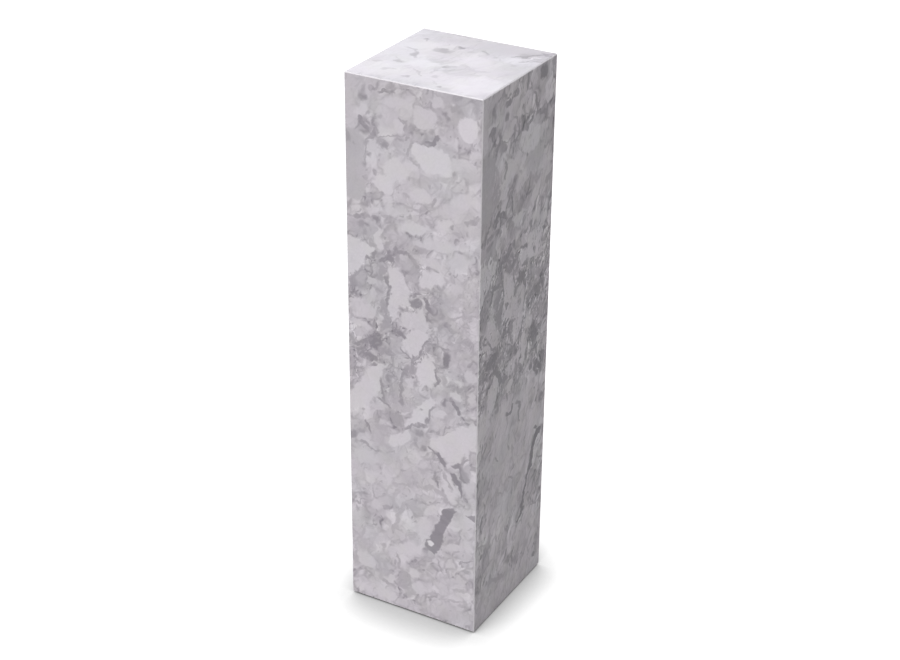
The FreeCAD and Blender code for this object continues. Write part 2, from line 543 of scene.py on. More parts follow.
def layers(name: str, marks: tuple[Any, ...], worn: bool = False) -> tuple[Layer, ...]:
    """Part many marks into layers of a handy size, in their order.

    Args:
        name: What the layers are called.
        marks: The marks.
        worn: Whether the stone's own grain breaks them up.

    Returns:
        The layers.
    """
    parts = [marks[start : start + LAYER_SIZE] for start in range(0, len(marks), LAYER_SIZE)]
    return tuple(Layer(f"{name}_{number}", part, worn) for number, part in enumerate(parts, 1))


def above(marks: tuple[Any, ...], up: float) -> tuple[Any, ...]:
    """Take only the marks that lie above a height.

    Args:
        marks: The marks.
        up: The height in millimetres.

    Returns:
        Those above it, in their order.
    """
    return tuple(mark for mark in marks if mark.height > up)


SIDE_ZONES = (
    Spot(8, 955, 14, 55, 0, 0.87, 8),
    Spot(42, 975, 26, 34, 0, 0.81, 10, 0.7),
    Spot(92, 945, 34, 34, 0, 0.89, 10, 0.7),
    Spot(196, 975, 32, 36, -20, 0.75, 9, 0.8),
    Spot(17, 846, 21, 60, 0, 0.77, 2.5, 0.92, Form.BLOCK),
    Spot(12, 880, 16, 22, 0, 0.73, 8, 0.6),
    Spot(140, 850, 90, 50, 0, 0.91, 25, 0.5),
    Spot(232, 790, 28, 26, 0, 0.83, 10, 0.7),
    Spot(186, 905, 20, 13, 0, 0.83, 6, 0.7),
    Spot(238, 868, 16, 13, 0, 0.81, 7, 0.7),
    Spot(34, 736, 36, 17, 0, 0.73, 6, 0.8),
    Spot(106, 731, 22, 10, 0, 0.82, 5, 0.7),
    Spot(115, 690, 22, 28, 0, 0.74, 8, 0.7),
    Spot(70, 640, 22, 50, 0, 0.76, 9, 0.7),
    Spot(124, 670, 18, 13, 0, 0.71, 4, 0.8),
    Spot(186, 637, 22, 20, 0, 0.72, 6, 0.8),
    Spot(228, 655, 26, 30, 0, 0.80, 10, 0.7),
    Spot(180, 600, 26, 20, 0, 0.72, 7, 0.7),
    Spot(214, 550, 22, 44, 0, 0.76, 9, 0.8),
    Spot(84, 545, 17, 32, 0, 0.69, 6, 0.8),
    Spot(50, 520, 44, 24, 10, 0.70, 9, 0.7),
    Spot(95, 470, 30, 46, 0, 0.76, 9, 0.7),
    Spot(14, 462, 16, 26, 0, 0.77, 6, 0.7),
    Spot(128, 440, 16, 18, 0, 0.76, 5, 0.7),
    Spot(100, 421, 22, 10, 0, 0.75, 4, 0.7),
    Spot(178, 440, 24, 50, 0, 0.80, 10, 0.6),
    Spot(140, 368, 20, 22, 0, 0.72, 7, 0.7),
    Spot(62, 350, 26, 26, 0, 0.75, 8, 0.7),
    Spot(18, 352, 20, 24, 0, 0.76, 8, 0.6),
    Spot(110, 300, 80, 40, 0, 0.83, 20, 0.5),
    Spot(16, 280, 22, 40, 0, 0.87, 10, 0.6),
    Spot(80, 235, 46, 24, 0, 0.82, 14, 0.5),
    Spot(224, 205, 18, 44, 0, 0.82, 10, 0.6),
    Spot(146, 165, 40, 34, 0, 0.90, 14, 0.5),
    Spot(18, 150, 20, 50, 0, 0.87, 10, 0.6),
    Spot(60, 90, 34, 50, 0, 0.82, 14, 0.5),
    Spot(190, 72, 44, 28, 0, 0.91, 12, 0.5),
    Spot(200, 24, 50, 16, 0, 0.81, 9, 0.7),
    Spot(40, 28, 38, 16, 0, 0.91, 9, 0.6),
    Spot(112, 14, 20, 12, 0, 0.80, 7, 0.6),
)

SIDE_CLASTS = (
    Spot(30, 941, 9, 14, -35, 0.95),
    Spot(100, 966, 28, 10, 10, 0.92, 3),
    Spot(148, 950, 22, 19, 10, 0.92, 2.5),
    Spot(171, 980, 12, 11, 0, 0.91, 2.5),
    Spot(228, 946, 17, 20, 0, 1.03, 2),
    Shard(
        ((125, 888), (131, 903), (172, 905), (193, 896), (199, 872), (188, 862), (150, 860), (134, 870)),
        1.0,
    ),
    Spot(52, 885, 10, 13, 0, 0.91),
    Spot(50, 859, 12, 14, 10, 0.98),
    Spot(94, 849, 24, 20, -10, 0.97),
    Spot(72, 822, 19, 15, 0, 0.99),
    Spot(124, 863, 13, 10, -20, 0.95),
    Spot(140, 816, 20, 12, 5, 0.94),
    Spot(104, 928, 11, 9, -20, 0.93),
    Spot(82, 916, 20, 6, 10, 0.93),
    Spot(186, 773, 18, 9, 30, 0.95),
    Spot(128, 756, 32, 8, 10, 0.94, 2.5),
    Spot(78, 799, 9, 9, 0, 0.94),
    Spot(50, 771, 12, 8, 20, 0.92),
    Spot(222, 822, 24, 11, 15, 0.93, 3),
    Spot(236, 906, 8, 6, 40, 0.93),
    Spot(198, 802, 22, 12, 20, 0.90, 4),
    Spot(88, 778, 14, 8, 0, 0.91, 3),
    Spot(76, 993, 8, 5, 0, 0.91),
    Spot(98, 986, 6, 6, 0, 0.93),
    Spot(212, 885, 20, 9, 20, 0.92, 3),
    Vein(((64, 746), (60, 731), (67, 712)), 12, 0.93),
    Shard(((-9, 715), (58, 707), (57, 699), (42, 681), (26, 661), (12, 648), (-9, 636)), 0.98),
    Spot(175, 735, 40, 9, 8, 0.92, 3),
    Spot(160, 703, 26, 10, -8, 0.91, 3),
    Spot(212, 718, 20, 12, 20, 0.90, 4),
    Spot(110, 700, 9, 6, 0, 0.84),
    Shard(((79, 678), (104, 680), (119, 646), (121, 616), (84, 608), (81, 640)), 0.95),
    Shard(((80, 615), (121, 618), (105, 600), (97, 577), (88, 577), (78, 598)), 0.93),
    Shard(((104, 596), (148, 612), (158, 592), (153, 575), (120, 570), (104, 578)), 0.91),
    Shard(((142, 684), (181, 689), (189, 668), (160, 655), (141, 660)), 0.97),
    Spot(210, 668, 15, 10, 30, 0.89, 3),
    Spot(50, 642, 10, 9, 20, 0.86, 2),
    Spot(44, 612, 14, 9, 25, 0.85, 3),
    Shard(((2, 602), (48, 602), (58, 584), (50, 570), (6, 572)), 0.91),
    Spot(28, 560, 19, 8, -12, 0.92),
    Spot(52, 622, 10, 6, 30, 0.86, 2),
    Shard(
        ((104, 544), (112, 560), (135, 573), (155, 572), (158, 556), (148, 538), (135, 522), (121, 519)),
        0.95,
    ),
    Shard(((139, 513), (155, 531), (165, 526), (173, 500), (161, 468), (141, 477), (132, 496)), 0.98),
    Spot(30, 545, 14, 7, 30, 0.83, 2),
    Spot(240, 512, 14, 13, 0, 0.89, 3),
    Spot(33, 487, 4, 9, 0, 0.95),
    Shard(((50, 492), (74, 492), (68, 458), (56, 432), (40, 440), (38, 468)), 0.95),
    Shard(((40, 470), (60, 446), (48, 420), (30, 400), (-6, 378), (-6, 408), (18, 442)), 0.95),
    Spot(122, 470, 7, 13, -10, 0.92),
    Spot(118, 450, 8, 8, 0, 0.86, 2),
    Shard(
        ((110, 381), (123, 404), (140, 430), (158, 456), (169, 450), (165, 430), (148, 404), (134, 391)),
        0.97,
    ),
    Shard(((78, 344), (95, 366), (117, 379), (123, 360), (110, 345), (83, 337)), 0.96),
    Spot(60, 405, 16, 9, 20, 0.86, 3),
    Spot(182, 428, 10, 8, 0, 0.93),
    Spot(212, 472, 13, 9, 0, 0.93),
    Spot(212, 495, 12, 5, 0, 0.92),
    Spot(240, 472, 8, 12, 0, 0.87, 3),
    Shard(
        (
            (259, 430), (225, 414), (200, 398), (178, 386), (162, 372), (161, 358),
            (196, 336), (216, 345), (259, 392),
        ),
        0.95,
    ),
    Spot(232, 346, 5, 6, 0, 0.98),
    Spot(208, 329, 8, 4, 20, 0.93),
    Shard(((184, 328), (203, 312), (211, 285), (208, 260), (196, 260), (188, 292)), 0.94),
    Spot(240, 300, 10, 16, 0, 0.88, 3),
    Spot(36, 330, 16, 6, 0, 0.89),
    Spot(30, 300, 24, 14, 0, 0.89, 5),
    Spot(45, 262, 8, 14, 10, 0.91, 3),
    Spot(70, 278, 6, 9, 20, 0.90, 3),
    Spot(165, 232, 22, 9, 40, 0.93, 3),
    Spot(150, 195, 22, 14, 45, 0.91, 5),
    Spot(73, 166, 6, 4, 0, 0.97),
    Spot(115, 135, 26, 14, 25, 0.93, 5),
    Spot(110, 110, 12, 9, 30, 0.96, 3),
    Spot(55, 206, 16, 9, 20, 0.88, 4),
    Spot(206, 167, 22, 9, 20, 0.89, 4),
    Spot(238, 180, 9, 16, 0, 0.90, 4),
    Spot(212, 210, 8, 4, 0, 0.94),
    Spot(52, 117, 3, 6, 10, 0.99),
    Spot(75, 128, 2.5, 7, 0, 0.97),
    Spot(131, 86, 14, 9, 0, 0.93, 4),
    Spot(30, 82, 16, 18, 0, 0.90, 4),
    Spot(82, 60, 10, 8, 0, 0.90, 3),
    Spot(142, 58, 14, 12, 0, 0.91, 3),
    Spot(172, 68, 8, 6, 0, 0.97),
    Spot(80, 22, 14, 9, 0, 0.93, 4),
    Spot(65, 24, 12, 12, 0, 0.93, 4),
)

SIDE_DARKS = (
    Spot(35, 968, 5, 9, -10, 0.45),
    Vein(((49, 982), (59, 985), (68, 994)), 5, 0.55),
    Vein(((66, 981), (78, 981), (90, 985)), 6, 0.50),
    Spot(86, 994, 5, 3, 20, 0.62),
    Spot(38, 979, 3, 4, 0, 0.64),
    Vein(((29, 931), (32, 922), (40, 913)), 9, 0.45),
    Spot(44, 938, 3, 3, 0, 0.66),
    Spot(57, 925, 4, 7, 0, 0.48),
    Vein(((45, 902), (52, 908), (60, 913)), 8, 0.54),
    Spot(57, 906, 3.5, 3, 0, 0.45),
    Spot(66, 933, 4, 3, 0, 0.70),
    Vein(((102, 940), (115, 936), (117, 924)), 5, 0.62),
    Vein(((124, 932), (129, 917)), 3.5, 0.62),
    Spot(128, 916, 3, 3, 0, 0.45),
    Spot(132, 968, 4, 6, -30, 0.78),
    Spot(162, 929, 7, 4, 60, 0.60),
    Vein(((154, 907), (165, 911), (172, 921)), 8, 0.42),
    Vein(((143, 906), (158, 907)), 3, 0.58),
    Vein(((62, 903), (82, 905), (100, 911), (120, 914)), 3, 0.64),
    Spot(70, 896, 12, 7, -20, 0.62),
    Spot(76, 891, 5, 5, 0, 0.52),
    Spot(100, 894, 5, 6, 0, 0.77),
    Vein(((114, 881), (122, 892), (131, 903)), 5, 0.66),
    Vein(((120, 880), (138, 862)), 3, 0.72),
    Vein(((42, 898), (41, 876), (35, 852)), 4, 0.62),
    Spot(45, 869, 4.5, 4, 0, 0.56),
    Spot(34, 850, 4, 4, 0, 0.54),
    Spot(56, 839, 5, 5, 0, 0.60),
    Vein(((52, 818), (60, 805)), 4, 0.74),
    Spot(38, 828, 3, 3, 0, 0.60),
    Spot(36, 798, 3, 4, 0, 0.60),
    Spot(42, 791, 4, 2, 0, 0.66),
    Spot(132, 834, 4, 4, 0, 0.72),
    Spot(97, 829, 3, 5, 0, 0.80),
    Vein(((160, 806), (170, 818)), 7, 0.63),
    Vein(((151, 800), (160, 791)), 4, 0.62),
    Vein(((128, 802), (152, 802)), 3, 0.74),
    Vein(((152, 848), (185, 855), (212, 866)), 9, 0.79, 3),
    Vein(((196, 850), (186, 826)), 7, 0.80, 3),
    Spot(203, 865, 5, 3, 20, 0.60),
    Spot(190, 852, 4, 3, 0, 0.72),
    Spot(225, 855, 3, 5, 0, 0.66),
    Vein(((228, 787), (240, 795), (247, 802)), 10, 0.62),
    Spot(228, 771, 3, 4, 0, 0.62),
    Spot(243, 984, 6, 14, 0, 0.66, 3),
    Spot(186, 963, 5, 4, 0, 0.42),
    Spot(193, 957, 5, 3.5, 0, 0.48),
    Vein(((160, 981), (165, 968)), 5, 0.60),
    Spot(201, 978, 8, 9, 0, 0.62, 2),
    Spot(199, 983, 4, 3, 0, 0.97),
    Spot(206, 994, 9, 6, 0, 0.60, 2),
    Spot(212, 970, 5, 3, 10, 0.58),
    Spot(178, 945, 3, 4, 0, 0.58),
    Spot(188, 947, 5, 3, 0, 0.62),
    Spot(205, 933, 6, 4, 0, 0.74),
    Spot(33, 778, 8, 2.5, 0, 0.58),
    Spot(57, 757, 7, 5, 0, 0.40),
    Spot(46, 759, 5, 3, 0, 0.58),
    Vein(((20, 754), (38, 758)), 8, 0.52),
    Spot(64, 748, 5, 6, 0, 0.54),
    Spot(120, 772, 6, 5, 0, 0.62),
    Vein(((66, 765), (84, 771)), 5, 0.70),
    Spot(148, 770, 4, 3, 0, 0.72),
    Vein(((160, 766), (178, 788)), 4, 0.72),
    Spot(3, 893, 5, 9, 0, 0.58),
    Spot(12, 885, 2.5, 3, 0, 0.60),
    Spot(5, 773, 4, 11, -30, 0.56),
    Spot(30, 741, 11, 6, 20, 0.54),
    Spot(40, 742, 3, 3, 0, 0.42),
    Spot(34, 729, 5, 6, 0, 0.60),
    Spot(52, 714, 9, 7, -20, 0.66),
    Spot(143, 723, 12, 5.5, 0, 0.67),
    Vein(((66, 683), (78, 691), (88, 689)), 9, 0.40),
    Spot(82, 700, 4, 6, 0, 0.42),
    Vein(((82, 728), (75, 704)), 5, 0.62),
    Spot(96, 707, 6, 7, 0, 0.50),
    Spot(98, 694, 6, 8, 0, 0.60, 2),
    Vein(((90, 712), (102, 706), (115, 710), (128, 702)), 5, 0.48),
    Spot(127, 696, 3, 8, 0, 0.62),
    Spot(113, 677, 9, 3.5, 5, 0.44),
    Spot(128, 682, 8, 5, 0, 0.66, 2),
    Vein(((41, 679), (50, 688), (58, 701)), 4, 0.45),
    Vein(((60, 676), (78, 680)), 3, 0.70),
    Vein(((46, 674), (46, 656), (53, 652)), 5, 0.48),
    Spot(56, 657, 5, 5, 0, 0.52),
    Vein(((68, 672), (66, 652)), 11, 0.60),
    Vein(((76, 662), (81, 642), (81, 622), (76, 600)), 5, 0.45),
    Spot(28, 645, 11, 19, -18, 0.52),
    Spot(28, 645, 8, 15, -18, 0.75),
    Vein(((4, 628), (18, 646), (32, 665)), 5, 0.60),
    Spot(9, 631, 7, 6, 0, 0.55),
    Spot(62, 631, 8, 5, 0, 0.58),
    Vein(((60, 612), (52, 595)), 4, 0.66),
    Spot(133, 621, 11, 9.5, 0, 0.40, 1.2),
    Vein(((128, 636), (135, 642), (141, 642)), 5, 0.46),
    Vein(((147, 633), (155, 628), (161, 616)), 9, 0.36),
    Vein(((158, 613), (156, 601), (164, 598)), 5, 0.44),
    Spot(108, 604, 5, 4, 30, 0.48),
    Vein(((149, 654), (165, 652), (186, 656)), 3, 0.66),
    Spot(119, 655, 2.5, 6, 0, 0.55),
    Spot(216, 633, 2.5, 3.5, 0, 1.0),
    Vein(((194, 608), (220, 620), (252, 628)), 5, 0.68),
    Spot(178, 612, 6, 7, 0, 0.55),
    Spot(171, 602, 5, 4, 0, 0.60),
    Spot(190, 596, 7, 4, 0, 0.44),
    Spot(178, 590, 6, 6, 0, 0.58),
    Spot(162, 602, 6, 3, 0, 0.44),
    Vein(((192, 596), (204, 590)), 4, 0.62),
    Spot(58, 586, 4, 7, 0, 0.60),
    Vein(((30, 565), (56, 573)), 3, 0.62),
    Vein(((70, 612), (69, 590), (75, 570), (64, 560)), 12, 0.58, 2.5),
    Shard(((42, 547), (58, 556), (68, 548), (69, 530), (61, 517), (45, 518), (39, 531)), 0.28),
    Vein(((45, 535), (30, 526), (10, 519)), 8, 0.42),
    Vein(((93, 563), (102, 560), (109, 554)), 9, 0.38),
    Spot(10, 575, 3, 8, 0, 0.66),
    Vein(((158, 563), (150, 545), (141, 529), (128, 518)), 4, 0.42),
    Vein(((102, 533), (112, 524), (121, 514)), 4, 0.48),
    Vein(((126, 520), (127, 500)), 6, 0.48),
    Vein(((156, 552), (176, 553), (196, 552)), 5, 0.55),
    Vein(((172, 577), (172, 556)), 4, 0.58),
    Vein(((163, 546), (172, 528), (176, 508)), 5, 0.70),
    Spot(192, 531, 7, 13.5, 0, 0.26),
    Spot(204, 570, 3, 2, 0, 0.95),
    Spot(196, 566, 6, 3, 0, 0.62),
    Spot(210, 550, 4, 8, 0, 0.64),
    Spot(75, 515, 16, 7, 0, 0.56, 2),
    Spot(24, 509, 10, 8, 0, 0.44, 2),
    Spot(40, 499, 24, 5, 0, 0.36, 2),
    Spot(48, 508, 6, 3, 0, 0.86),
    Vein(((46, 484), (58, 490)), 6, 0.45),
    Spot(8, 528, 6, 6, 0, 0.60),
    Spot(8, 480, 5, 10, 0, 0.66),
    Spot(5, 435, 4, 8, 0, 0.58),
    Vein(((66, 463), (65, 442), (68, 424)), 5, 0.48),
    Spot(82, 466, 4, 8, 10, 0.46),
    Vein(((117, 497), (108, 470), (104, 442), (101, 423)), 6, 0.50),
    Spot(72, 474, 3, 8, -10, 0.66),
    Vein(((85, 458), (82, 434)), 4, 0.62),
    Spot(94, 447, 4, 20, 0, 0.70),
    Vein(((58, 426), (70, 418), (81, 409)), 5, 0.48),
    Spot(77, 403, 5, 5, 0, 0.62),
    Spot(126, 496, 8, 6, 0, 0.56, 2),
    Spot(132, 476, 4, 10, 0, 0.62),
    Spot(97, 391, 15, 9, 5, 0.60, 2, 0.92, Form.BLOCK),
    Vein(((110, 378), (130, 388), (151, 396)), 6, 0.50),
    Vein(((150, 401), (160, 415), (168, 437)), 5, 0.50),
    Spot(155, 409, 5, 3.5, 0, 0.48),
    Spot(146, 422, 3, 2, 0, 0.55),
    Spot(139, 377, 9, 6, 0, 0.50),
    Vein(((131, 367), (136, 350)), 5, 0.58),
    Spot(147, 349, 6, 4, 30, 0.45),
    Vein(((31, 376), (36, 363), (42, 353)), 6, 0.45),
    Spot(8, 337, 10, 13, -35, 0.47),
    Spot(22, 350, 7, 5, 0, 0.58),
    Vein(((18, 326), (35, 324), (50, 315), (61, 318)), 4, 0.57),
    Spot(65, 366, 12, 7, 0, 0.70, 2),
    Spot(5, 372, 5, 3, 0, 0.58),
    Spot(192, 452, 4, 7.5, -10, 0.36),
    Vein(((203, 456), (212, 446), (221, 437)), 9, 0.36),
    Vein(((216, 417), (227, 421)), 5, 0.60),
    Vein(((174, 502), (172, 486), (169, 477)), 5, 0.42),
    Vein(((192, 484), (214, 484), (229, 492), (233, 472), (228, 457)), 4, 0.58),
    Spot(186, 490, 4, 8, 0, 0.66),
    Spot(243, 456, 4, 2, 0, 0.50),
    Spot(188, 418, 4, 6, 0, 0.66),
    Vein(((184, 389), (192, 402), (201, 410)), 3.5, 0.58),
    Vein(((184, 388), (198, 395)), 3, 0.64),
    Spot(226, 356, 3, 6, -30, 0.56),
    Vein(((170, 313), (173, 294)), 6, 0.50),
    Vein(((178, 301), (179, 283)), 5, 0.38),
    Spot(188, 277, 3, 4.5, 0, 0.55),
    Spot(130, 284, 3, 4, 0, 0.66),
    Vein(((132, 277), (136, 265)), 4, 0.70),
    Spot(118, 316, 4, 5, 0, 0.70),
    Vein(((90, 262), (115, 264), (124, 272)), 7, 0.70, 2.5),
    Vein(((140, 269), (165, 276), (192, 270)), 7, 0.70, 2.5),
    Spot(192, 262, 4, 8, 0, 0.66, 2),
    Spot(212, 238, 7, 6, 0, 0.72),
    Spot(134, 222, 10, 9, 0, 0.71, 2.5),
    Vein(((96, 250), (86, 226), (91, 205)), 7, 0.74, 2.5),
    Vein(((112, 226), (99, 200), (92, 176), (87, 165)), 8, 0.71, 2.5),
    Vein(((88, 172), (110, 167)), 3.5, 0.70),
    Spot(14, 240, 4, 9, 0, 0.72),
    Vein(((46, 230), (49, 219), (56, 218)), 4, 0.67),
    Spot(52, 175, 6, 4, 0, 0.67),
    Spot(68, 157, 7, 5, 0, 0.66),
    Spot(66, 195, 7, 3, 10, 0.74),
    Vein(((2, 198), (18, 198), (33, 208)), 3, 0.60),
    Vein(((8, 190), (15, 185)), 3, 0.62),
    Vein(((25, 196), (34, 190)), 3, 0.66),
    Vein(((29, 152), (19, 128), (9, 114)), 6, 0.72, 2.5),
    Spot(23, 112, 9, 15, -20, 0.75, 2.5),
    Spot(48, 142, 6, 8, 0, 0.77, 2.5),
    Spot(66, 127, 5, 4, 0, 0.66),
    Spot(68, 118, 3, 6, 0, 0.72),
    Vein(((94, 117), (100, 104), (102, 92)), 5, 0.63),
    Spot(111, 65, 14, 20, -5, 0.66, 3, 0.92, Form.BLOCK),
    Spot(122, 44, 8, 10, 0, 0.72, 3),
    Spot(60, 90, 9, 7, 0, 0.73, 3),
    Spot(59, 66, 4, 16, 5, 0.72, 2.5),
    Vein(((12, 55), (25, 57), (43, 52)), 3.5, 0.60),
    Vein(((64, 53), (80, 47), (88, 42)), 6, 0.66, 2.5),
    Spot(10, 84, 4, 18, 0, 0.70, 2.5),
    Spot(3, 78, 3, 4, 0, 0.56),
    Vein(((154, 42), (165, 46), (173, 53)), 4, 0.60),
    Spot(169, 60, 2.5, 5, 0, 0.66),
    Vein(((176, 132), (179, 119), (184, 110)), 5, 0.60),
    Spot(196, 103, 7, 4, 25, 0.74),
    Vein(((220, 139), (231, 147), (245, 153)), 4, 0.52),
    Spot(227, 139, 4, 3, 0, 0.60),
    Spot(237, 125, 8, 5, 0, 0.62, 2),
    Spot(236, 92, 3, 6, 0, 0.64),
    Vein(((212, 80), (230, 84)), 6, 0.72, 2.5),
    Spot(228, 62, 4, 9, 25, 0.73, 2),
    Vein(((194, 44), (206, 54), (226, 63)), 5, 0.72, 2.5),
    Spot(242, 51, 4, 2.5, 15, 0.42),
    Spot(206, 179, 3, 4, 0, 0.62),
    Vein(((222, 207), (220, 192), (214, 180)), 4.5, 0.62),
    Spot(200, 195, 2.5, 6, 0, 0.70),
    Spot(206, 148, 6, 3, 0, 0.76),
    Spot(145, 15, 5, 5, 0, 0.66),
    Spot(137, 28, 2.5, 5, 0, 0.68),
    Spot(153, 29, 3, 6, -20, 0.74),
    Vein(((90, 30), (100, 25)), 4, 0.76),
)

FRONT_MARKS = (
    Vein(((160, 353), (169, 346), (178, 342)), 5, 0.46),
    Vein(((174, 344), (184, 338), (191, 329)), 6, 0.36),
    Vein(((204, 330), (213, 334), (222, 342), (233, 352)), 5, 0.55, 2.4),
    Vein(((206, 330), (216, 337), (222, 330)), 7, 0.40, 2.2),
    Shard(((216, 340), (226, 336), (238, 316), (236, 303), (229, 303), (220, 318)), 0.55, 3.0),
    Vein(((217, 334), (223, 318), (231, 306)), 5, 0.40, 2.2),
    Shard(((199, 319), (206, 321), (223, 308), (223, 294), (212, 300)), 0.30, 1.3),
    Shard(((217, 306), (225, 304), (224, 282), (220, 274), (218, 288)), 0.36, 1.3),
    Vein(((190, 318), (195, 300), (203, 284)), 4, 0.66, 2.4),
    Shard(((186, 230), (194, 246), (213, 246), (204, 224)), 0.37, 1.6),
    Shard(((183, 228), (193, 243), (208, 240), (203, 214), (185, 208)), 0.33, 1.8),
    Shard(((184, 222), (202, 217), (195, 200), (188, 184), (171, 184)), 0.32, 1.8),
    Shard(((162, 175), (170, 191), (190, 191), (185, 172), (182, 157), (165, 164)), 0.32, 1.8),
    Shard(((155, 164), (164, 174), (183, 159), (179, 147), (172, 141), (157, 146)), 0.35, 1.8),
    Spot(155, 145, 4, 8, -30, 0.5, 2.4),
    Spot(163, 162, 5.5, 4.5, 10, 1.12, 1.5),
    Shard(((234, 241), (246, 249), (254, 250), (254, 236), (242, 236)), 0.46, 1.4),
)

TOP_FIGURE_AND_PAINTED_LIGHT = (
    # painted light and shade: broad spots make the top paler on the left and front and greyer on the right,
    # where the light from above falls unevenly
    Spot(36, 130, 50, 64, 0, 1.0, 20, 0.65),
    Spot(118, 44, 56, 34, 0, 1.0, 14, 0.6),
    Spot(226, 135, 34, 34, 0, 0.85, 14, 0.5),
    Spot(30, 40, 50, 34, 20, 1.04, 16, 0.6),
    Spot(214, 50, 46, 40, 20, 1.05, 12, 0.7),
    Spot(92, 96, 26, 20, 20, 1.04, 6, 0.8),
    Spot(160, 145, 34, 22, -20, 1.0, 8, 0.7),
    Spot(50, 178, 26, 14, 40, 1.0, 7, 0.7),
    Spot(26, 160, 20, 14, 0, 1.0, 7, 0.6),
    Spot(206, 232, 70, 30, 6, 0.80, 14, 0.8),
    Spot(234, 218, 28, 20, 40, 0.76, 8, 0.7),
    Vein(((198, 196), (212, 205), (226, 222), (250, 248)), 5, 0.54, 3),
    Vein(((222, 186), (236, 193), (249, 206)), 4, 0.62, 3),
    Vein(((206, 184), (222, 200), (242, 220)), 4, 1.0, 3),
    Spot(160, 210, 40, 28, 0, 0.83, 12, 0.7),
    Spot(80, 232, 70, 18, 0, 0.82, 10, 0.6),
    Spot(172, 100, 16, 24, -20, 0.90, 10, 0.4),
    Spot(92, 150, 26, 12, 10, 0.90, 6, 0.6),
    Vein(((150, 120), (172, 108), (198, 112)), 9, 0.84, 5, 0.7),
    Spot(90, 167, 13, 10, -10, 0.66, 4),
    Spot(75, 166, 8, 7, 0, 0.76, 4),
    Spot(107, 194, 7, 5, -25, 0.56, 2.5),
    Spot(36, 206, 4, 4, -30, 0.60, 2.5),
    Vein(((34, 205), (41, 194)), 4, 0.78, 2),
    Vein(((148, 200), (157, 188)), 6, 0.68, 2.5),
    Vein(((28, 153), (44, 150), (56, 136), (64, 116)), 6, 0.80, 3),
    Spot(56, 128, 7, 9, 20, 0.70, 3.5),
    Spot(50, 87, 9, 7, 0, 0.76, 4),
    Vein(((38, 104), (58, 86)), 4, 0.88, 2.5),
    Spot(129, 101, 6, 4, 20, 0.62, 2.5),
    Vein(((129, 104), (140, 110)), 8, 0.82, 3),
    Spot(127, 76, 5, 5, 0, 0.74, 3),
    Vein(((126, 92), (127, 74), (120, 64)), 6, 0.86, 3),
    Spot(108, 120, 8, 4, 30, 0.84, 3),
    Vein(((92, 66), (104, 56), (114, 46)), 4, 0.82, 2.5),
    Spot(99, 30, 7, 5, 0, 0.74, 3),
    Spot(20, 71, 6, 5, 0, 0.84, 3),
    Vein(((45, 45), (62, 52)), 5, 0.86, 3),
    Spot(135, 52, 8, 6, 0, 0.84, 3),
    Vein(((144, 36), (156, 24)), 3, 0.88, 2),
    Spot(168, 14, 4, 4, 0, 0.74, 2),
    Spot(210, 214, 9, 6, 40, 0.68, 4, 0.7),
    Vein(((232, 238), (249, 232)), 5, 0.60, 3),
    Spot(216, 163, 7, 5, 20, 0.80, 3),
    Spot(176, 182, 6, 5, 0, 0.78, 3),
    Spot(247, 150, 5, 20, 0, 0.88, 4),
    Spot(88, 249, 30, 3, 0, 0.72, 2.5),
    Spot(24, 218, 5, 3, 0, 0.86, 2.5),
    Spot(212, 104, 10, 14, 0, 0.92, 5),
)

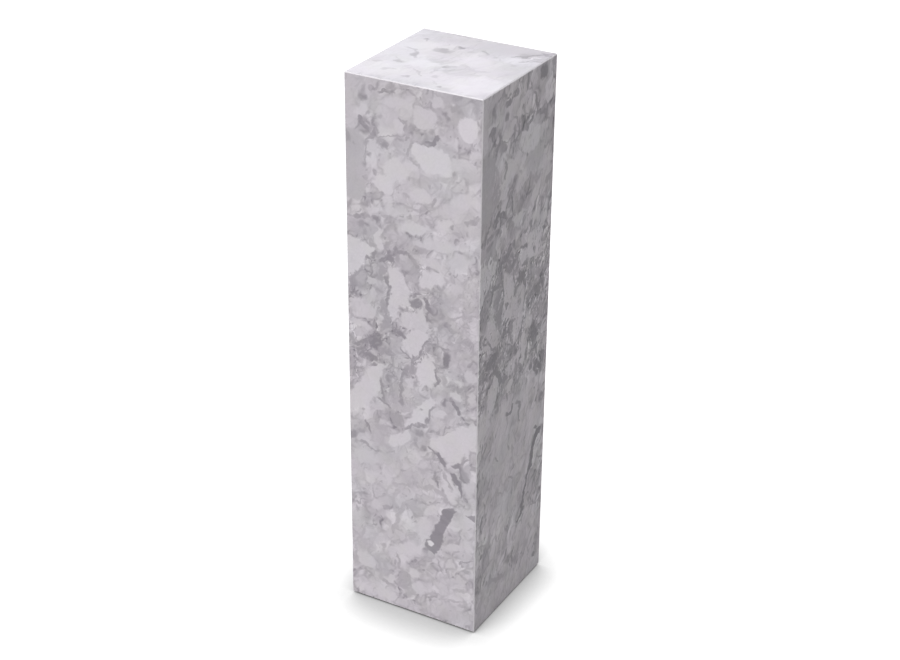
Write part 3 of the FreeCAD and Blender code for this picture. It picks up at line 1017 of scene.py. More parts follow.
RIGHT_MARKS_AND_PAINTED_LIGHT = (
    Spot(120, 300, 110, 150, 0, 0.90, 50, 0.6),
    # painted light: a broad pale spot lightens the bottom of the right face, which lies in shade near the
    # floor
    Spot(126, 0, 190, 70, 0, 0.97, 45, 0.7),
    Spot(90, 320, 34, 26, 20, 0.84, 14, 0.6),
    Spot(200, 110, 50, 40, 0, 0.83, 18, 0.6),
    Spot(60, 120, 50, 26, 10, 0.82, 14, 0.6),
    Spot(70, 68, 60, 10, -8, 0.78, 7, 0.6),
    Spot(20, 40, 40, 26, 0, 0.93, 14, 0.5),
    Spot(214, 338, 26, 22, 0, 0.95, 8, 0.6),
    Spot(150, 395, 34, 16, 20, 0.93, 8, 0.6),
    Spot(70, 400, 40, 14, 20, 0.92, 8, 0.6),
    Vein(((66, 330), (72, 322), (78, 318)), 5, 0.60, 2),
    Vein(((112, 332), (119, 320)), 4, 0.62, 2),
    Vein(((122, 262), (134, 250)), 5, 0.62, 2),
    Vein(((70, 252), (86, 244), (97, 240)), 4, 0.70, 2),
    Vein(((0, 178), (26, 168), (52, 160)), 5, 0.72, 3),
    Vein(((200, 156), (226, 152), (250, 150)), 4, 0.62, 2),
    Vein(((226, 246), (244, 240)), 4, 0.58, 2),
    Vein(((52, 78), (78, 70), (110, 60)), 8, 0.68, 4),
    Spot(225, 38, 4, 5, 0, 0.45, 1.5),
    Spot(184, 64, 4, 3, 0, 0.60, 1.5),
    Spot(207, 228, 8, 4, -35, 0.60, 2),
    Vein(((78, 969), (95, 971), (112, 978)), 11, 0.45, 2.5),
    Spot(204, 984, 12, 11, 0, 0.30, 2.5),
    Vein(((176, 952), (188, 930), (184, 916)), 9, 0.44, 2.5),
    Vein(((146, 934), (170, 926), (186, 920)), 4, 0.58, 2),
    Vein(((186, 920), (204, 916), (225, 909)), 7, 0.46, 2),
    Spot(79, 947, 5, 8, 10, 0.42, 2.5),
    Spot(34, 934, 8, 9, 0, 0.44, 2),
    Spot(24, 893, 5, 14, 0, 0.48, 2),
    Spot(6, 886, 5, 12, 0, 0.52, 2),
    Vein(((95, 892), (118, 894)), 6, 0.50, 2),
    Spot(106, 918, 7, 7, 0, 0.60, 2),
    Vein(((72, 878), (80, 860), (76, 846)), 7, 0.58, 2),
    Shard(((-9, 900), (30, 900), (58, 860), (62, 812), (40, 790), (10, 772), (-9, 768)), 0.72, 2.5, 0.85),
    Spot(52, 826, 17, 16, 0, 0.66, 3),
    Spot(186, 840, 36, 22, 0, 0.80, 8, 0.7),
    Spot(196, 806, 14, 12, 0, 0.66, 3),
    Spot(202, 812, 8, 6, 0, 0.84, 2),
    Vein(((44, 772), (62, 782), (84, 778)), 15, 0.30, 2.5),
    Spot(60, 779, 5, 4, 0, 0.72, 1.5),
    Vein(((10, 752), (20, 770)), 8, 0.45, 2),
    Spot(96, 758, 8, 8, 0, 0.50, 2),
    Spot(104, 742, 13, 12, 0, 0.60, 3),
    Spot(176, 732, 7, 5, 0, 0.50, 2),
    Spot(162, 722, 6, 4, 0, 0.56, 2),
    Vein(((82, 702), (92, 696), (102, 706)), 9, 0.40, 2),
    Spot(112, 712, 7, 7, 0, 0.45, 2.5),
    Shard(((86, 690), (108, 700), (130, 688), (128, 672), (104, 664), (90, 672)), 0.42, 4, 0.8),
    Spot(105, 690, 5, 4, 0, 0.75, 1.5),
    Spot(128, 700, 4, 4, 0, 0.78, 1.5),
    Vein(((140, 698), (162, 690)), 7, 0.44, 2),
    Vein(((150, 664), (166, 658)), 6, 0.46, 2),
    Shard(((168, 704), (208, 716), (216, 690), (208, 664), (176, 660), (164, 676)), 0.99, 2),
    Vein(((58, 640), (66, 610), (72, 585)), 15, 0.56, 4, 0.75),
    Vein(((30, 646), (48, 656), (62, 655), (80, 656)), 8, 0.46, 2),
    Spot(146, 640, 15, 12, 0, 0.36, 2.5),
    Shard(((86, 652), (108, 656), (122, 612), (108, 576), (90, 590), (82, 620)), 0.94, 2),
    Spot(138, 600, 22, 24, 0, 0.90, 4),
    Spot(142, 598, 7, 7, 0, 0.62, 2),
    Spot(172, 632, 8, 5, 0, 0.48, 2),
    Vein(((180, 640), (204, 628), (232, 620)), 14, 0.68, 5, 0.7),
    Spot(50, 560, 20, 22, 0, 0.92, 3),
    Vein(((8, 584), (24, 566), (40, 556), (66, 538)), 5, 0.48, 2),
    Spot(16, 610, 12, 22, 0, 0.62, 4),
    Spot(205, 596, 13, 7, -40, 0.36, 2.5),
    Vein(((170, 582), (184, 590), (194, 604)), 6, 0.46, 2),
    Spot(112, 560, 7, 16, 0, 0.52, 2),
    Spot(118, 536, 5, 12, 0, 0.50, 2),
    Vein(((30, 524), (52, 514), (66, 496)), 12, 0.34, 2.5),
    Spot(12, 508, 10, 14, 0, 0.52, 3),
    Vein(((100, 520), (124, 510), (130, 496)), 8, 0.44, 2),
    Spot(200, 514, 12, 18, 10, 0.26, 2.5),
    Spot(226, 548, 12, 26, 0, 0.68, 5),
    Spot(176, 545, 16, 18, 0, 0.92, 4),
    Spot(160, 500, 16, 12, 0, 0.93, 3),
    Vein(((60, 498), (74, 486), (78, 470)), 12, 0.40, 2.5),
    Spot(120, 486, 22, 11, 20, 0.97, 3),
    Spot(92, 470, 9, 6, 0, 0.46, 2),
    Vein(((146, 478), (158, 452)), 8, 0.50, 2),
    Vein(((180, 464), (192, 478), (208, 484), (213, 462)), 9, 0.36, 2.5),
    Spot(30, 452, 6, 22, 0, 0.66, 3),
    Spot(112, 448, 12, 10, 0, 0.96, 2.5),
    Shard(((200, 446), (214, 452), (232, 434), (226, 420), (210, 418)), 0.26, 2.5),
    Spot(66, 420, 8, 4, 30, 0.55, 2),
    Vein(((104, 396), (120, 392), (128, 402)), 7, 0.40, 2),
    Vein(((140, 400), (152, 390), (153, 362)), 7, 0.52, 2.5),
    Spot(240, 372, 6, 6, 0, 0.46, 2),
    Vein(((214, 316), (222, 308)), 5, 0.34, 1.5),
    Vein(((232, 300), (218, 296), (208, 280)), 13, 0.20, 1.5),
    Vein(((212, 296), (206, 262), (197, 238)), 13, 0.22, 1.5),
    Vein(((200, 244), (188, 222), (180, 196)), 7, 0.22, 1.5),
    Vein(((181, 202), (174, 176), (172, 154), (156, 150)), 7, 0.24, 1.5),
)


@dataclass(frozen=True)
class Shade:
    """One colour of the stone as the lit face shows it, from dark to pale."""

    place: float
    colour: Colour


@dataclass(frozen=True)
class Patches:
    """Patches of noise with soft borders, such as the clouds, specks, chips and pits of the stone."""

    grain_mm: float
    limits: Pair
    share: float = 1.0
    seed: Triple = ORIGIN
    detail: float = 1.0

    def over(self, bench: Bench, place: Wire, outside: float = 0.0, inside: float = 1.0) -> Wire:
        """Make the patches.

        Args:
            bench: The tree's bench.
            place: Place in millimetres.
            outside: The value outside them.
            inside: The value in them.

        Returns:
            The value at each place.
        """
        seeded = place if self.seed == ORIGIN else place + self.seed
        return bench.noise(seeded, self.grain_mm, self.detail).between(*self.limits, outside, inside)


@dataclass(frozen=True)
class Rubble:
    """Fragments of one size, and how strongly they and the seams at their edges show."""

    size_mm: float
    tone_share: float
    seam_share: float
    seam_width: float
    smoothness: float = 0.25
    patch_share: float = 1.4
    patch_limits: Pair = (0.40, 0.60)

    def parts(self, bench: Bench, seeded: Wire, live: float = 1.0) -> tuple[Wire, Wire]:
        """Make the fragments and their seams.

        Args:
            bench: The tree's bench.
            seeded: The place along and across the bed.
            live: How strongly they show.

        Returns:
            What the fragments add to the tone and what the seams take from it.
        """
        colour = bench.cells(seeded, self.size_mm, "SMOOTH_F1", "Color", Smoothness=self.smoothness)
        own = bench.add("ShaderNodeSeparateColor", {}, {0: colour})
        edge = bench.cells(seeded, self.size_mm, "DISTANCE_TO_EDGE", "Distance")
        seams = edge.between(self.seam_width, 0.0, 0.0, self.seam_share * live)
        return (own - 0.5) * (self.tone_share * live), seams

    def lay(self, bench: Bench, seeded: Wire, tone: Wire, live: float) -> Wire:
        """Break the ground into these fragments, with seams in patches of it.

        Args:
            bench: The tree's bench.
            seeded: The place along and across the bed.
            tone: The ground's tone so far.
            live: How strongly they show.

        Returns:
            The tone with them.
        """
        stones, seams = self.parts(bench, seeded, live)
        seed = (self.size_mm, 3.0 * self.size_mm, 0.0)
        where = Patches(self.patch_share * self.size_mm, self.patch_limits, seed=seed)
        return tone + stones - seams * where.over(bench, seeded)


RUBBLES = (
    Rubble(25.0, tone_share=0.17, seam_share=0.19, seam_width=0.17),
    Rubble(12.0, tone_share=0.11, seam_share=0.10, seam_width=0.22),
)
CLOUDS = Patches(60.0, (0.35, 0.65), share=0.06)
SPECKS = Patches(10.0, (0.62, 0.72), share=0.22)
CRUSHED = Patches(26.0, (0.40, 0.58), seed=(0.0, 0.0, 50.0))
CHIPS = Patches(5.0, (0.60, 0.70), share=0.38, seed=(90.0, 0.0, 0.0))
PITS = Patches(6.0, (0.60, 0.70), share=0.36, seed=(0.0, 90.0, 0.0))
WEAR = Patches(7.0, (0.34, 0.5), detail=3.0)
HUES = (
    (Patches(70.0, (0.42, 0.66)), (0.965, 1.0, 0.985, 1.0)),
    (Patches(34.0, (0.42, 0.66), seed=(700.0, 700.0, 0.0)), (0.985, 1.0, 0.955, 1.0)),
)


@dataclass(frozen=True)
class MarbleFinish:
    """Honed brecciated marble: pale lilac fragments in a greyer ground, with dark seams.

    A bend is a grain and a reach in millimetres, and a bump a strength and a depth in millimetres.
    """

    name: str
    turn: float
    zones: tuple[Layer, ...]
    figure: tuple[Layer, ...]
    drift: Triple = ORIGIN
    lying: bool = False
    ground: float = 0.86
    liveliness: float = 1.0
    lean: float = 50.0
    stretch: float = 1.15
    specular: float = 0.3
    mottle: float = 0.12
    mottle_mm: float = 4.5
    contrast: float = 1.0
    lift: float = 0.0
    crushed: Pair = (440.0, 710.0)
    crushed_blur: Pair = (40.0, 30.0)
    crushed_lift: float = 0.03
    pebble: float = 9.0
    wear: float = 0.45
    scatter: float = 0.15
    fading: Pair = (130.0, 190.0)
    faded: float = 0.35
    colourful: float = 0.5
    bends: tuple[Pair, Pair] = ((24.0, 18.0), (8.0, 8.0))
    quick_share: float = 0.3
    break_mm: float = 7.0
    break_reach: float = 1.4
    # painted highlight: how sharply the true normal picks out the arrises, and how strongly the pale colour
    # is laid on them
    highlight_span: Pair = (0.92, 0.80)
    highlight_share: float = 0.45
    rough: Pair = (0.42, 0.52)
    hone_mm: float = 0.8
    bump: Pair = (0.05, 0.2)
    # a colour multiplied over the whole slab; on the top it paints the cooler light from above
    tint: Colour = WHITE
    # pale colour of the painted highlight on the arrises
    highlight_colour: Colour = linear(243, 241, 244)
    shades: tuple[Shade, ...] = (
        Shade(DEEPEST_TONE, linear(84, 81, 87)),
        Shade(0.0, linear(112, 108, 115)),
        Shade(0.25, linear(137, 132, 140)),
        Shade(0.5, linear(161, 155, 163)),
        Shade(0.75, linear(191, 185, 192)),
        Shade(1.0, linear(221, 215, 222)),
        Shade(PALEST_TONE, linear(245, 240, 246)),
    )

    def face_place(self, bench: Bench) -> Wire:
        """Give the place on the slab's outer face in millimetres, across, up and into it.

        Args:
            bench: The tree's bench.

        Returns:
            That place as a vector.
        """
        own = bench.add("ShaderNodeTexCoord", {}, {}, "Object")
        scale = (MM_PER_M, MM_PER_M, MM_PER_M)
        middle = HALF_SIDE_MM if self.lying else 0.0
        turned = bench.mapped(own, (HALF_SIDE_MM, middle, 0.0), (0.0, 0.0, self.turn), scale)
        if self.lying:
            return turned
        return bench.mapped(turned, ORIGIN, (-90.0, 0.0, 0.0), EVEN)

    def bent(self, bench: Bench, place: Wire) -> tuple[Wire, Wire]:
        """Bend and break the straight lines, as the rock's own movement did.

        Args:
            bench: The tree's bench.
            place: Place on the face.

        Returns:
            The place bent smoothly, for pebbles, and bent and broken, for shards.
        """
        seeded = place + self.drift
        slow, quick = (
            (bench.noise(seeded, grain, detail=1.0, out="Color") - CENTRE) * (reach, reach, 0.0)
            for grain, reach in self.bends
        )
        cells = bench.cells(seeded, self.break_mm, "F1", "Color")
        broken = (cells - CENTRE) * (self.break_reach, self.break_reach, 0.0)
        smooth = place + slow
        return smooth + quick * (self.quick_share, self.quick_share, 0.0), smooth + quick + broken

    def drawn(self, bench: Bench, place: Wire) -> Wire:
        """Draw the pattern out along the bed of the rock.

        Args:
            bench: The tree's bench.
            place: Place on the face.

        Returns:
            The place along and across the bed.
        """
        along = (self.stretch, 1.0 / self.stretch, 1.0)
        return bench.mapped(place + self.drift, ORIGIN, (0.0, 0.0, self.lean), along, "TEXTURE")

    def rock(self, bench: Bench, seeded: Wire) -> Wire:
        """Make the ground between the placed marks: clouds, small fragments, fine seams and specks.

        Args:
            bench: The tree's bench.
            seeded: The place along and across the bed.

        Returns:
            The ground's tone.
        """
        live = self.liveliness
        swing = CLOUDS.share * live
        tone = CLOUDS.over(bench, seeded, self.ground - swing, self.ground + swing)
        for rubble in RUBBLES:
            tone = rubble.lay(bench, seeded, tone, live)
        return tone - SPECKS.over(bench, seeded, 0.0, SPECKS.share * live)

    def gravel(self, bench: Bench, place: Wire, seeded: Wire) -> Wire:
        """Make the crushed stone between the big fragments, thickest in one band of the face.

        Args:
            bench: The tree's bench.
            place: The bent place on the face.
            seeded: The place along and across the bed.

        Returns:
            What it adds to the tone.
        """
        pebbles = Rubble(self.pebble, tone_share=0.34, seam_share=0.17, seam_width=0.26, smoothness=0.3)
        stones, seams = pebbles.parts(bench, seeded)
        across, up, _ = bench.split(place)
        low, high = self.crushed
        below, over = self.crushed_blur
        band = up.between(low - below, low + below) * up.between(high + over, high - over)
        where = CRUSHED.over(bench, place, self.scatter)
        band = band * across.between(*self.fading, 1.0, self.faded)
        chips = CHIPS.over(bench, seeded, 0.0, CHIPS.share * self.wear)
        pits = PITS.over(bench, seeded, 0.0, PITS.share)
        return (stones - seams + self.crushed_lift + chips - pits) * (band * where) * self.liveliness

    def painted_arris_highlight(self, bench: Bench) -> Wire:
        """Find the arrises, which a painted highlight makes paler than the faces.

        Args:
            bench: The tree's bench.

        Returns:
            How much of the painted highlight there is.
        """
        normal = bench.add("ShaderNodeNewGeometry", {}, {}, "True Normal")
        plain = bench.add("ShaderNodeVectorMath", {"operation": "ABSOLUTE"}, {0: normal})
        x, y, z = bench.split(plain)
        return x.at_least(y).at_least(z).between(*self.highlight_span, 0.0, self.highlight_share)

    def coat(self, material: bpy.types.Material) -> None:
        """Fill the material's tree.

        Args:
            material: The material, with an empty tree.
        """
        bench = Bench(material.node_tree)
        place = self.face_place(bench)
        smooth, bent = self.bent(bench, place)
        seeded = self.drawn(bench, smooth)
        tone = self.rock(bench, seeded)
        patch = WEAR.over(bench, seeded, 1.0 - self.wear)
        for layer in self.zones:
            tone = layer.paint(bench, bent, tone, patch)
        tone = tone + self.gravel(bench, smooth, seeded)
        for layer in self.figure:
            tone = layer.paint(bench, bent, tone, patch)
        fine = bench.noise(seeded, self.mottle_mm, detail=3.0)
        tone = tone + (fine - 0.5) * self.mottle
        tone = tone * self.contrast - (self.ground * (self.contrast - 1.0) - self.lift)
        span = PALEST_TONE - DEEPEST_TONE
        stops = [((shade.place - DEEPEST_TONE) / span, shade.colour) for shade in self.shades]
        level = (tone - DEEPEST_TONE) * (1.0 / span)
        colour = bench.add("ShaderNodeValToRGB", {"stops": stops}, {0: level}, "Color")
        for patches, hue in HUES:
            share = patches.over(bench, place, 0.0, self.colourful)
            colour = bench.tint(share, colour, hue, "MULTIPLY")
        # painted light colour, where a slab has a tint
        colour = bench.tint(1.0, colour, self.tint, "MULTIPLY")
        # painted highlight along the arrises
        colour = bench.tint(self.painted_arris_highlight(bench), colour, self.highlight_colour)
        rough = fine.between(*NOISE_SPAN, *self.rough)
        normal = bench.bumped(bench.noise(place, self.hone_mm), *self.bump)
        sockets = {"Base Color": colour, "Roughness": rough, "Normal": normal}
        bench.surface({**sockets, "Specular IOR Level": self.specular})


@dataclass(frozen=True)
class EpoxyFinish:
    """Stone epoxy, tinted pale to match and honed flush with the slabs."""

    pale: Colour = linear(231, 228, 231)
    deep: Colour = linear(211, 207, 212)
    dust_mm: float = 1.5
    cast_mm: float = 40.0
    cast_span: Pair = (0.75, 1.25)
    rough: Pair = (0.34, 0.46)
    bump: Pair = (0.15, 0.05)

    def coat(self, material: bpy.types.Material) -> None:
        """Fill the material's tree.

        Args:
            material: The material, with an empty tree.
        """
        bench = Bench(material.node_tree)
        place = bench.place_mm()
        dust = bench.noise(place, self.dust_mm, detail=3.0)
        cast = bench.noise(place, self.cast_mm)
        colour = bench.tint((dust + cast).between(*self.cast_span), self.deep, self.pale)
        rough = dust.between(*NOISE_SPAN, *self.rough)
        bench.surface({"Base Color": colour, "Roughness": rough, "Normal": bench.bumped(dust, *self.bump)})


@dataclass(frozen=True)
class AdhesiveFinish:
    """Gunned off-white adhesive with drag marks, bubbles and a little dust."""

    pale: Colour = linear(236, 235, 229)
    deep: Colour = linear(212, 208, 198)
    drag_mm: float = 3.0
    drag_out: Triple = (1.0, 1.0, 0.2)
    bubble_mm: float = 2.4
    bubble_span: Pair = (0.10, 0.28)
    bubble_share: float = 0.3
    dust: Patches = Patches(14.0, (0.4, 0.7), detail=3.0)
    rough: Pair = (0.55, 0.8)
    bump: Pair = (0.4, 0.5)

    def coat(self, material: bpy.types.Material) -> None:
        """Fill the material's tree.

        Args:
            material: The material, with an empty tree.
        """
        bench = Bench(material.node_tree)
        place = bench.place_mm()
        drag = bench.noise(place * self.drag_out, self.drag_mm)
        bubbles = bench.cells(place, self.bubble_mm, "F1", "Distance").between(*self.bubble_span)
        dusty = self.dust.over(bench, place)
        colour = bench.tint(dusty, self.pale, self.deep)
        rough = dusty.between(0.0, 1.0, *self.rough)
        normal = bench.bumped(drag + bubbles * self.bubble_share, *self.bump)
        bench.surface({"Base Color": colour, "Roughness": rough, "Normal": normal})


@dataclass(frozen=True)
class PlywoodFinish:
    """Birch plywood: sliced grain on its two faces and the plies in turn on its sawn edges."""

    across: int
    along: int
    start_mm: float
    veneers: int
    thick_mm: float
    face_pale: Colour = linear(229, 207, 172)
    face_deep: Colour = linear(205, 174, 131)
    ply_pale: Colour = linear(222, 197, 158)
    ply_deep: Colour = linear(158, 118, 78)
    drawn_out: float = 0.035
    line_mm: float = 3.2
    figure_mm: float = 22.0
    line_share: float = 0.6
    grain_span: Pair = (0.36, 0.64)
    ply_span: Pair = (-0.25, 0.25)
    fibre_mm: float = 1.1
    face_span: Pair = (0.6, 0.9)
    sawn_span: Pair = (0.1, 0.9)
    rough: Pair = (0.55, 0.72)
    grain_share: float = 0.7
    bump: Pair = (0.3, 0.2)

    def grain(self, bench: Bench, place: Wire) -> Wire:
        """Make the long grain of the faces.

        Args:
            bench: The tree's bench.
            place: Place in millimetres.

        Returns:
            The grain, from 0 to 1.
        """
        scale = tuple(self.drawn_out if axis == self.along else 1.0 for axis in range(3))
        lines = bench.noise(place * scale, self.line_mm, detail=3.0)
        figure = bench.noise(place * scale, self.figure_mm)
        return lines.blend(figure, self.line_share).between(*self.grain_span)

    def plies(self, bench: Bench, place: Wire) -> Wire:
        """Make the stripes of the edges, pale along the grain and dark across it.

        Args:
            bench: The tree's bench.
            place: Place in millimetres.

        Returns:
            The share of dark, end-grain ply.
        """
        depth = bench.split(place)[self.across] - self.start_mm
        turns = depth * (self.veneers * math.pi / self.thick_mm)
        wave = bench.add("ShaderNodeMath", {"operation": "SINE"}, {0: turns - math.pi / 2.0})
        return wave.between(*self.ply_span)

    def coat(self, material: bpy.types.Material) -> None:
        """Fill the material's tree.

        Args:
            material: The material, with an empty tree.
        """
        bench = Bench(material.node_tree)
        place = bench.place_mm()
        grain = self.grain(bench, place)
        fibres = bench.noise(place, self.fibre_mm)
        side = bench.split(bench.add("ShaderNodeNewGeometry", {}, {}, "True Normal"))[self.across]
        facing = bench.add("ShaderNodeMath", {"operation": "ABSOLUTE"}, {0: side})
        face = bench.tint(grain, self.face_pale, self.face_deep)
        stripes = (self.plies(bench, place) + fibres - 0.5).between(*self.sawn_span)
        sawn = bench.tint(stripes, self.ply_pale, self.ply_deep)
        colour = bench.tint(facing.between(*self.face_span), sawn, face)
        rough = fibres.between(*NOISE_SPAN, *self.rough)
        normal = bench.bumped(grain.blend(fibres, self.grain_share), *self.bump)
        bench.surface({"Base Color": colour, "Roughness": rough, "Normal": normal})


@dataclass(frozen=True)
class WireFinish:
    """Galvanised staple wire, drawn bright with dull patches of zinc."""

    bright: Colour = linear(206, 206, 208)
    dull: Colour = linear(172, 174, 179)
    zinc: Patches = Patches(1.6, (0.35, 0.65), detail=2.0)
    drawn_out: Triple = (1.0, 1.0, 0.1)
    scratch_mm: float = 0.25
    zinc_share: float = 0.6
    dull_span: Pair = (0.1, 0.9)
    rough: Pair = (0.24, 0.46)
    bump: Pair = (0.2, 0.03)

    def coat(self, material: bpy.types.Material) -> None:
        """Fill the material's tree.

        Args:
            material: The material, with an empty tree.
        """
        bench = Bench(material.node_tree)
        place = bench.place_mm()
        zinc = self.zinc.over(bench, place)
        scratches = bench.noise(place * self.drawn_out, self.scratch_mm)
        colour = bench.tint(zinc, self.bright, self.dull)
        rough = zinc.blend(scratches, self.zinc_share).between(*self.dull_span, *self.rough)
        normal = bench.bumped(scratches, *self.bump)
        bench.surface({"Base Color": colour, "Metallic": 1.0, "Roughness": rough, "Normal": normal})


@dataclass(frozen=True)
class FeltFinish:
    """Pressed wool felt in dark grey, with pale and dark fibres."""

    pale: Colour = linear(134, 130, 130)
    deep: Colour = linear(84, 81, 82)
    curl_mm: float = 2.0
    curl_reach: Triple = (1.6, 1.6, 1.6)
    combed: Triple = (1.0, 0.3, 1.0)
    fibre_mm: float = 0.35
    clump_mm: float = 4.0
    fibre_share: float = 0.7
    pale_span: Pair = (0.35, 0.65)
    rough: Pair = (0.9, 1.0)
    bump: Pair = (0.6, 0.25)
    sheen: float = 0.25

    def coat(self, material: bpy.types.Material) -> None:
        """Fill the material's tree.

        Args:
            material: The material, with an empty tree.
        """
        bench = Bench(material.node_tree)
        place = bench.place_mm()
        curl = bench.noise(place, self.curl_mm, out="Color") * self.curl_reach
        fibres = bench.noise((place + curl) * self.combed, self.fibre_mm, detail=3.0)
        clumps = bench.noise(place, self.clump_mm)
        paleness = fibres.blend(clumps, self.fibre_share).between(*self.pale_span)
        colour = bench.tint(paleness, self.deep, self.pale)
        rough = fibres.between(*NOISE_SPAN, *self.rough)
        normal = bench.bumped(fibres, *self.bump)
        sockets = {"Base Color": colour, "Roughness": rough, "Normal": normal}
        bench.surface({**sockets, "Sheen Weight": self.sheen})


def new_material(name: str, finish: Any) -> bpy.types.Material:
    """Make a material and let its finish fill it.

    Args:
        name: The material's name.
        finish: The finish, with a coat method.

    Returns:
        The material.
    """
    material = bpy.data.materials.new(name)
    material.use_nodes = True
    material.node_tree.nodes.clear()
    finish.coat(material)
    return material


def dress(node: str, material: bpy.types.Material) -> None:
    """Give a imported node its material.

    Args:
        node: The node.
        material: The material, the only one it gets.
    """
    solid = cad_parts[node]
    solid.data.materials.clear()
    solid.data.materials.append(material)
    LOG.info("%s: %s", node, material.name)


def direction(azimuth: float, elevation: float) -> Vector:
    """Give the direction from the column to a camera or lamp.

    Args:
        azimuth: Degrees from the front towards the right.
        elevation: Degrees up.

    Returns:
        The direction.
    """
    turn = math.radians(azimuth)
    rise = math.radians(elevation)
    return Vector((math.sin(turn) * math.cos(rise), -math.cos(turn) * math.cos(rise), math.sin(rise)))


@dataclass(frozen=True)
class Lamp:
    """A far, soft lamp.

    Its angles are in degrees, and its level is how bright it lights a surface that faces it.
    """

    name: str
    azimuth: float
    elevation: float
    level: float
    spread: float

    def hang(self) -> None:
        """Hang the lamp."""
        data = bpy.data.lights.new(self.name, "SUN")
        data.energy = self.level * math.pi
        data.angle = math.radians(self.spread)
        lamp = bpy.data.objects.new(self.name, data)
        towards = direction(self.azimuth, self.elevation)
        lamp.rotation_euler = towards.to_track_quat("Z", "Y").to_euler()
        bpy.context.scene.collection.objects.link(lamp)


@dataclass(frozen=True)
class Studio:
    """Camera, lamps, floor and background.

    A shade is the reach in metres of the floor's contact shadow and its depth.
    """

    azimuth: float = 29.297
    elevation: float = 27.358
    roll: float = 0.59
    distance: float = 3.258699
    aim_right: float = 0.000953
    aim_height: float = 0.515715
    lens_mm: float = 75.652
    sensor_mm: float = 36.0
    floor_size: float = 60.0
    floor_grey: float = 0.30
    glow: float = 0.95
    side_shade: Pair = (0.09, 1.6)
    front_shade: Pair = (0.13, 2.1)
    front_from_mm: Pair = (-100.0, -150.0)
    shade_samples: int = 16
    ambient: float = 0.40
    lamps: tuple[Lamp, ...] = (
        Lamp("key", azimuth=-8.0, elevation=51.0, level=0.79, spread=40.0),
        Lamp("fill", azimuth=-140.0, elevation=30.0, level=0.16, spread=60.0),
    )

    def camera(self) -> None:
        """Stand the camera where the photograph was taken."""
        turn = math.radians(self.azimuth)
        lean = math.radians(self.roll)
        across = Vector((math.cos(turn), math.sin(turn), 0.0))
        back = direction(self.azimuth, self.elevation)
        over = back.cross(across)
        leaned = across * math.cos(lean) + over * math.sin(lean)
        upright = back.cross(leaned)
        aim = Vector((self.aim_right * math.cos(turn), self.aim_right * math.sin(turn), self.aim_height))
        data = bpy.data.cameras.new("camera")
        data.lens = self.lens_mm
        data.sensor_width = self.sensor_mm
        camera = bpy.data.objects.new("camera", data)
        place = Matrix((leaned, upright, back)).transposed().to_4x4()
        place.translation = aim + back * self.distance
        camera.matrix_world = place
        bpy.context.scene.collection.objects.link(camera)
        bpy.context.scene.camera = camera

    def seen(self, bench: Bench) -> Wire:
        """Tell the rays that see the background from those that carry light.

        Args:
            bench: The tree's bench.

        Returns:
            1 for a ray that sees it and 0 for one that carries light.
        """
        path = bench.node("ShaderNodeLightPath", {}, {})
        camera = Wire(bench, path.outputs["Is Camera Ray"])
        glossy = Wire(bench, path.outputs["Is Glossy Ray"])
        through = Wire(bench, path.outputs["Is Transmission Ray"])
        return camera.at_least(glossy).at_least(through)

    def background(self) -> None:
        """Make the world white to look at and plain soft light to stand in."""
        world = bpy.data.worlds.new("studio")
        world.use_nodes = True
        world.node_tree.nodes.clear()
        bench = Bench(world.node_tree)
        light = bench.add("ShaderNodeBackground", {}, {"Color": WHITE, "Strength": self.ambient})
        view = bench.add("ShaderNodeBackground", {}, {"Color": WHITE, "Strength": 1.0})
        both = bench.add("ShaderNodeMixShader", {}, {0: self.seen(bench), 1: light, 2: view})
        bench.node("ShaderNodeOutputWorld", {}, {"Surface": both})
        bpy.context.scene.world = world

    def floor(self) -> None:
        """Lay the pale floor, which keeps the column's shadow."""
        mesh = bpy.data.meshes.new("floor")
        shape = bmesh.new()
        bmesh.ops.create_grid(shape, x_segments=1, y_segments=1, size=self.floor_size / 2.0)
        shape.to_mesh(mesh)
        shape.free()
        floor = bpy.data.objects.new("floor", mesh)
        bpy.context.scene.collection.objects.link(floor)
        mesh.materials.append(new_material("floor", self))

    def coat(self, material: bpy.types.Material) -> None:
        """Fill the floor's tree.

        Args:
            material: The floor's material, with an empty tree.
        """
        bench = Bench(material.node_tree)
        grey = (self.floor_grey, self.floor_grey, self.floor_grey, 1.0)
        lit = bench.add("ShaderNodeBsdfDiffuse", {}, {"Color": grey})
        shades = []
        for reach, depth in (self.side_shade, self.front_shade):
            settings = {"samples": self.shade_samples}
            near = bench.add("ShaderNodeAmbientOcclusion", settings, {"Distance": reach}, "AO")
            shades.append(near**depth)
        in_front = bench.split(bench.place_mm())[1].between(*self.front_from_mm)
        strength = bench.mix(in_front, *shades) * self.glow * self.seen(bench)
        glow = bench.add("ShaderNodeEmission", {}, {"Color": WHITE, "Strength": strength})
        both = bench.add("ShaderNodeAddShader", {}, {0: lit, 1: glow})
        bench.node("ShaderNodeOutputMaterial", {}, {"Surface": both})

    def build(self) -> None:
        """Set up the whole studio."""
        bpy.context.scene.view_settings.view_transform = "Standard"
        self.camera()
        self.background()
        self.floor()
        for lamp in self.lamps:
            lamp.hang()


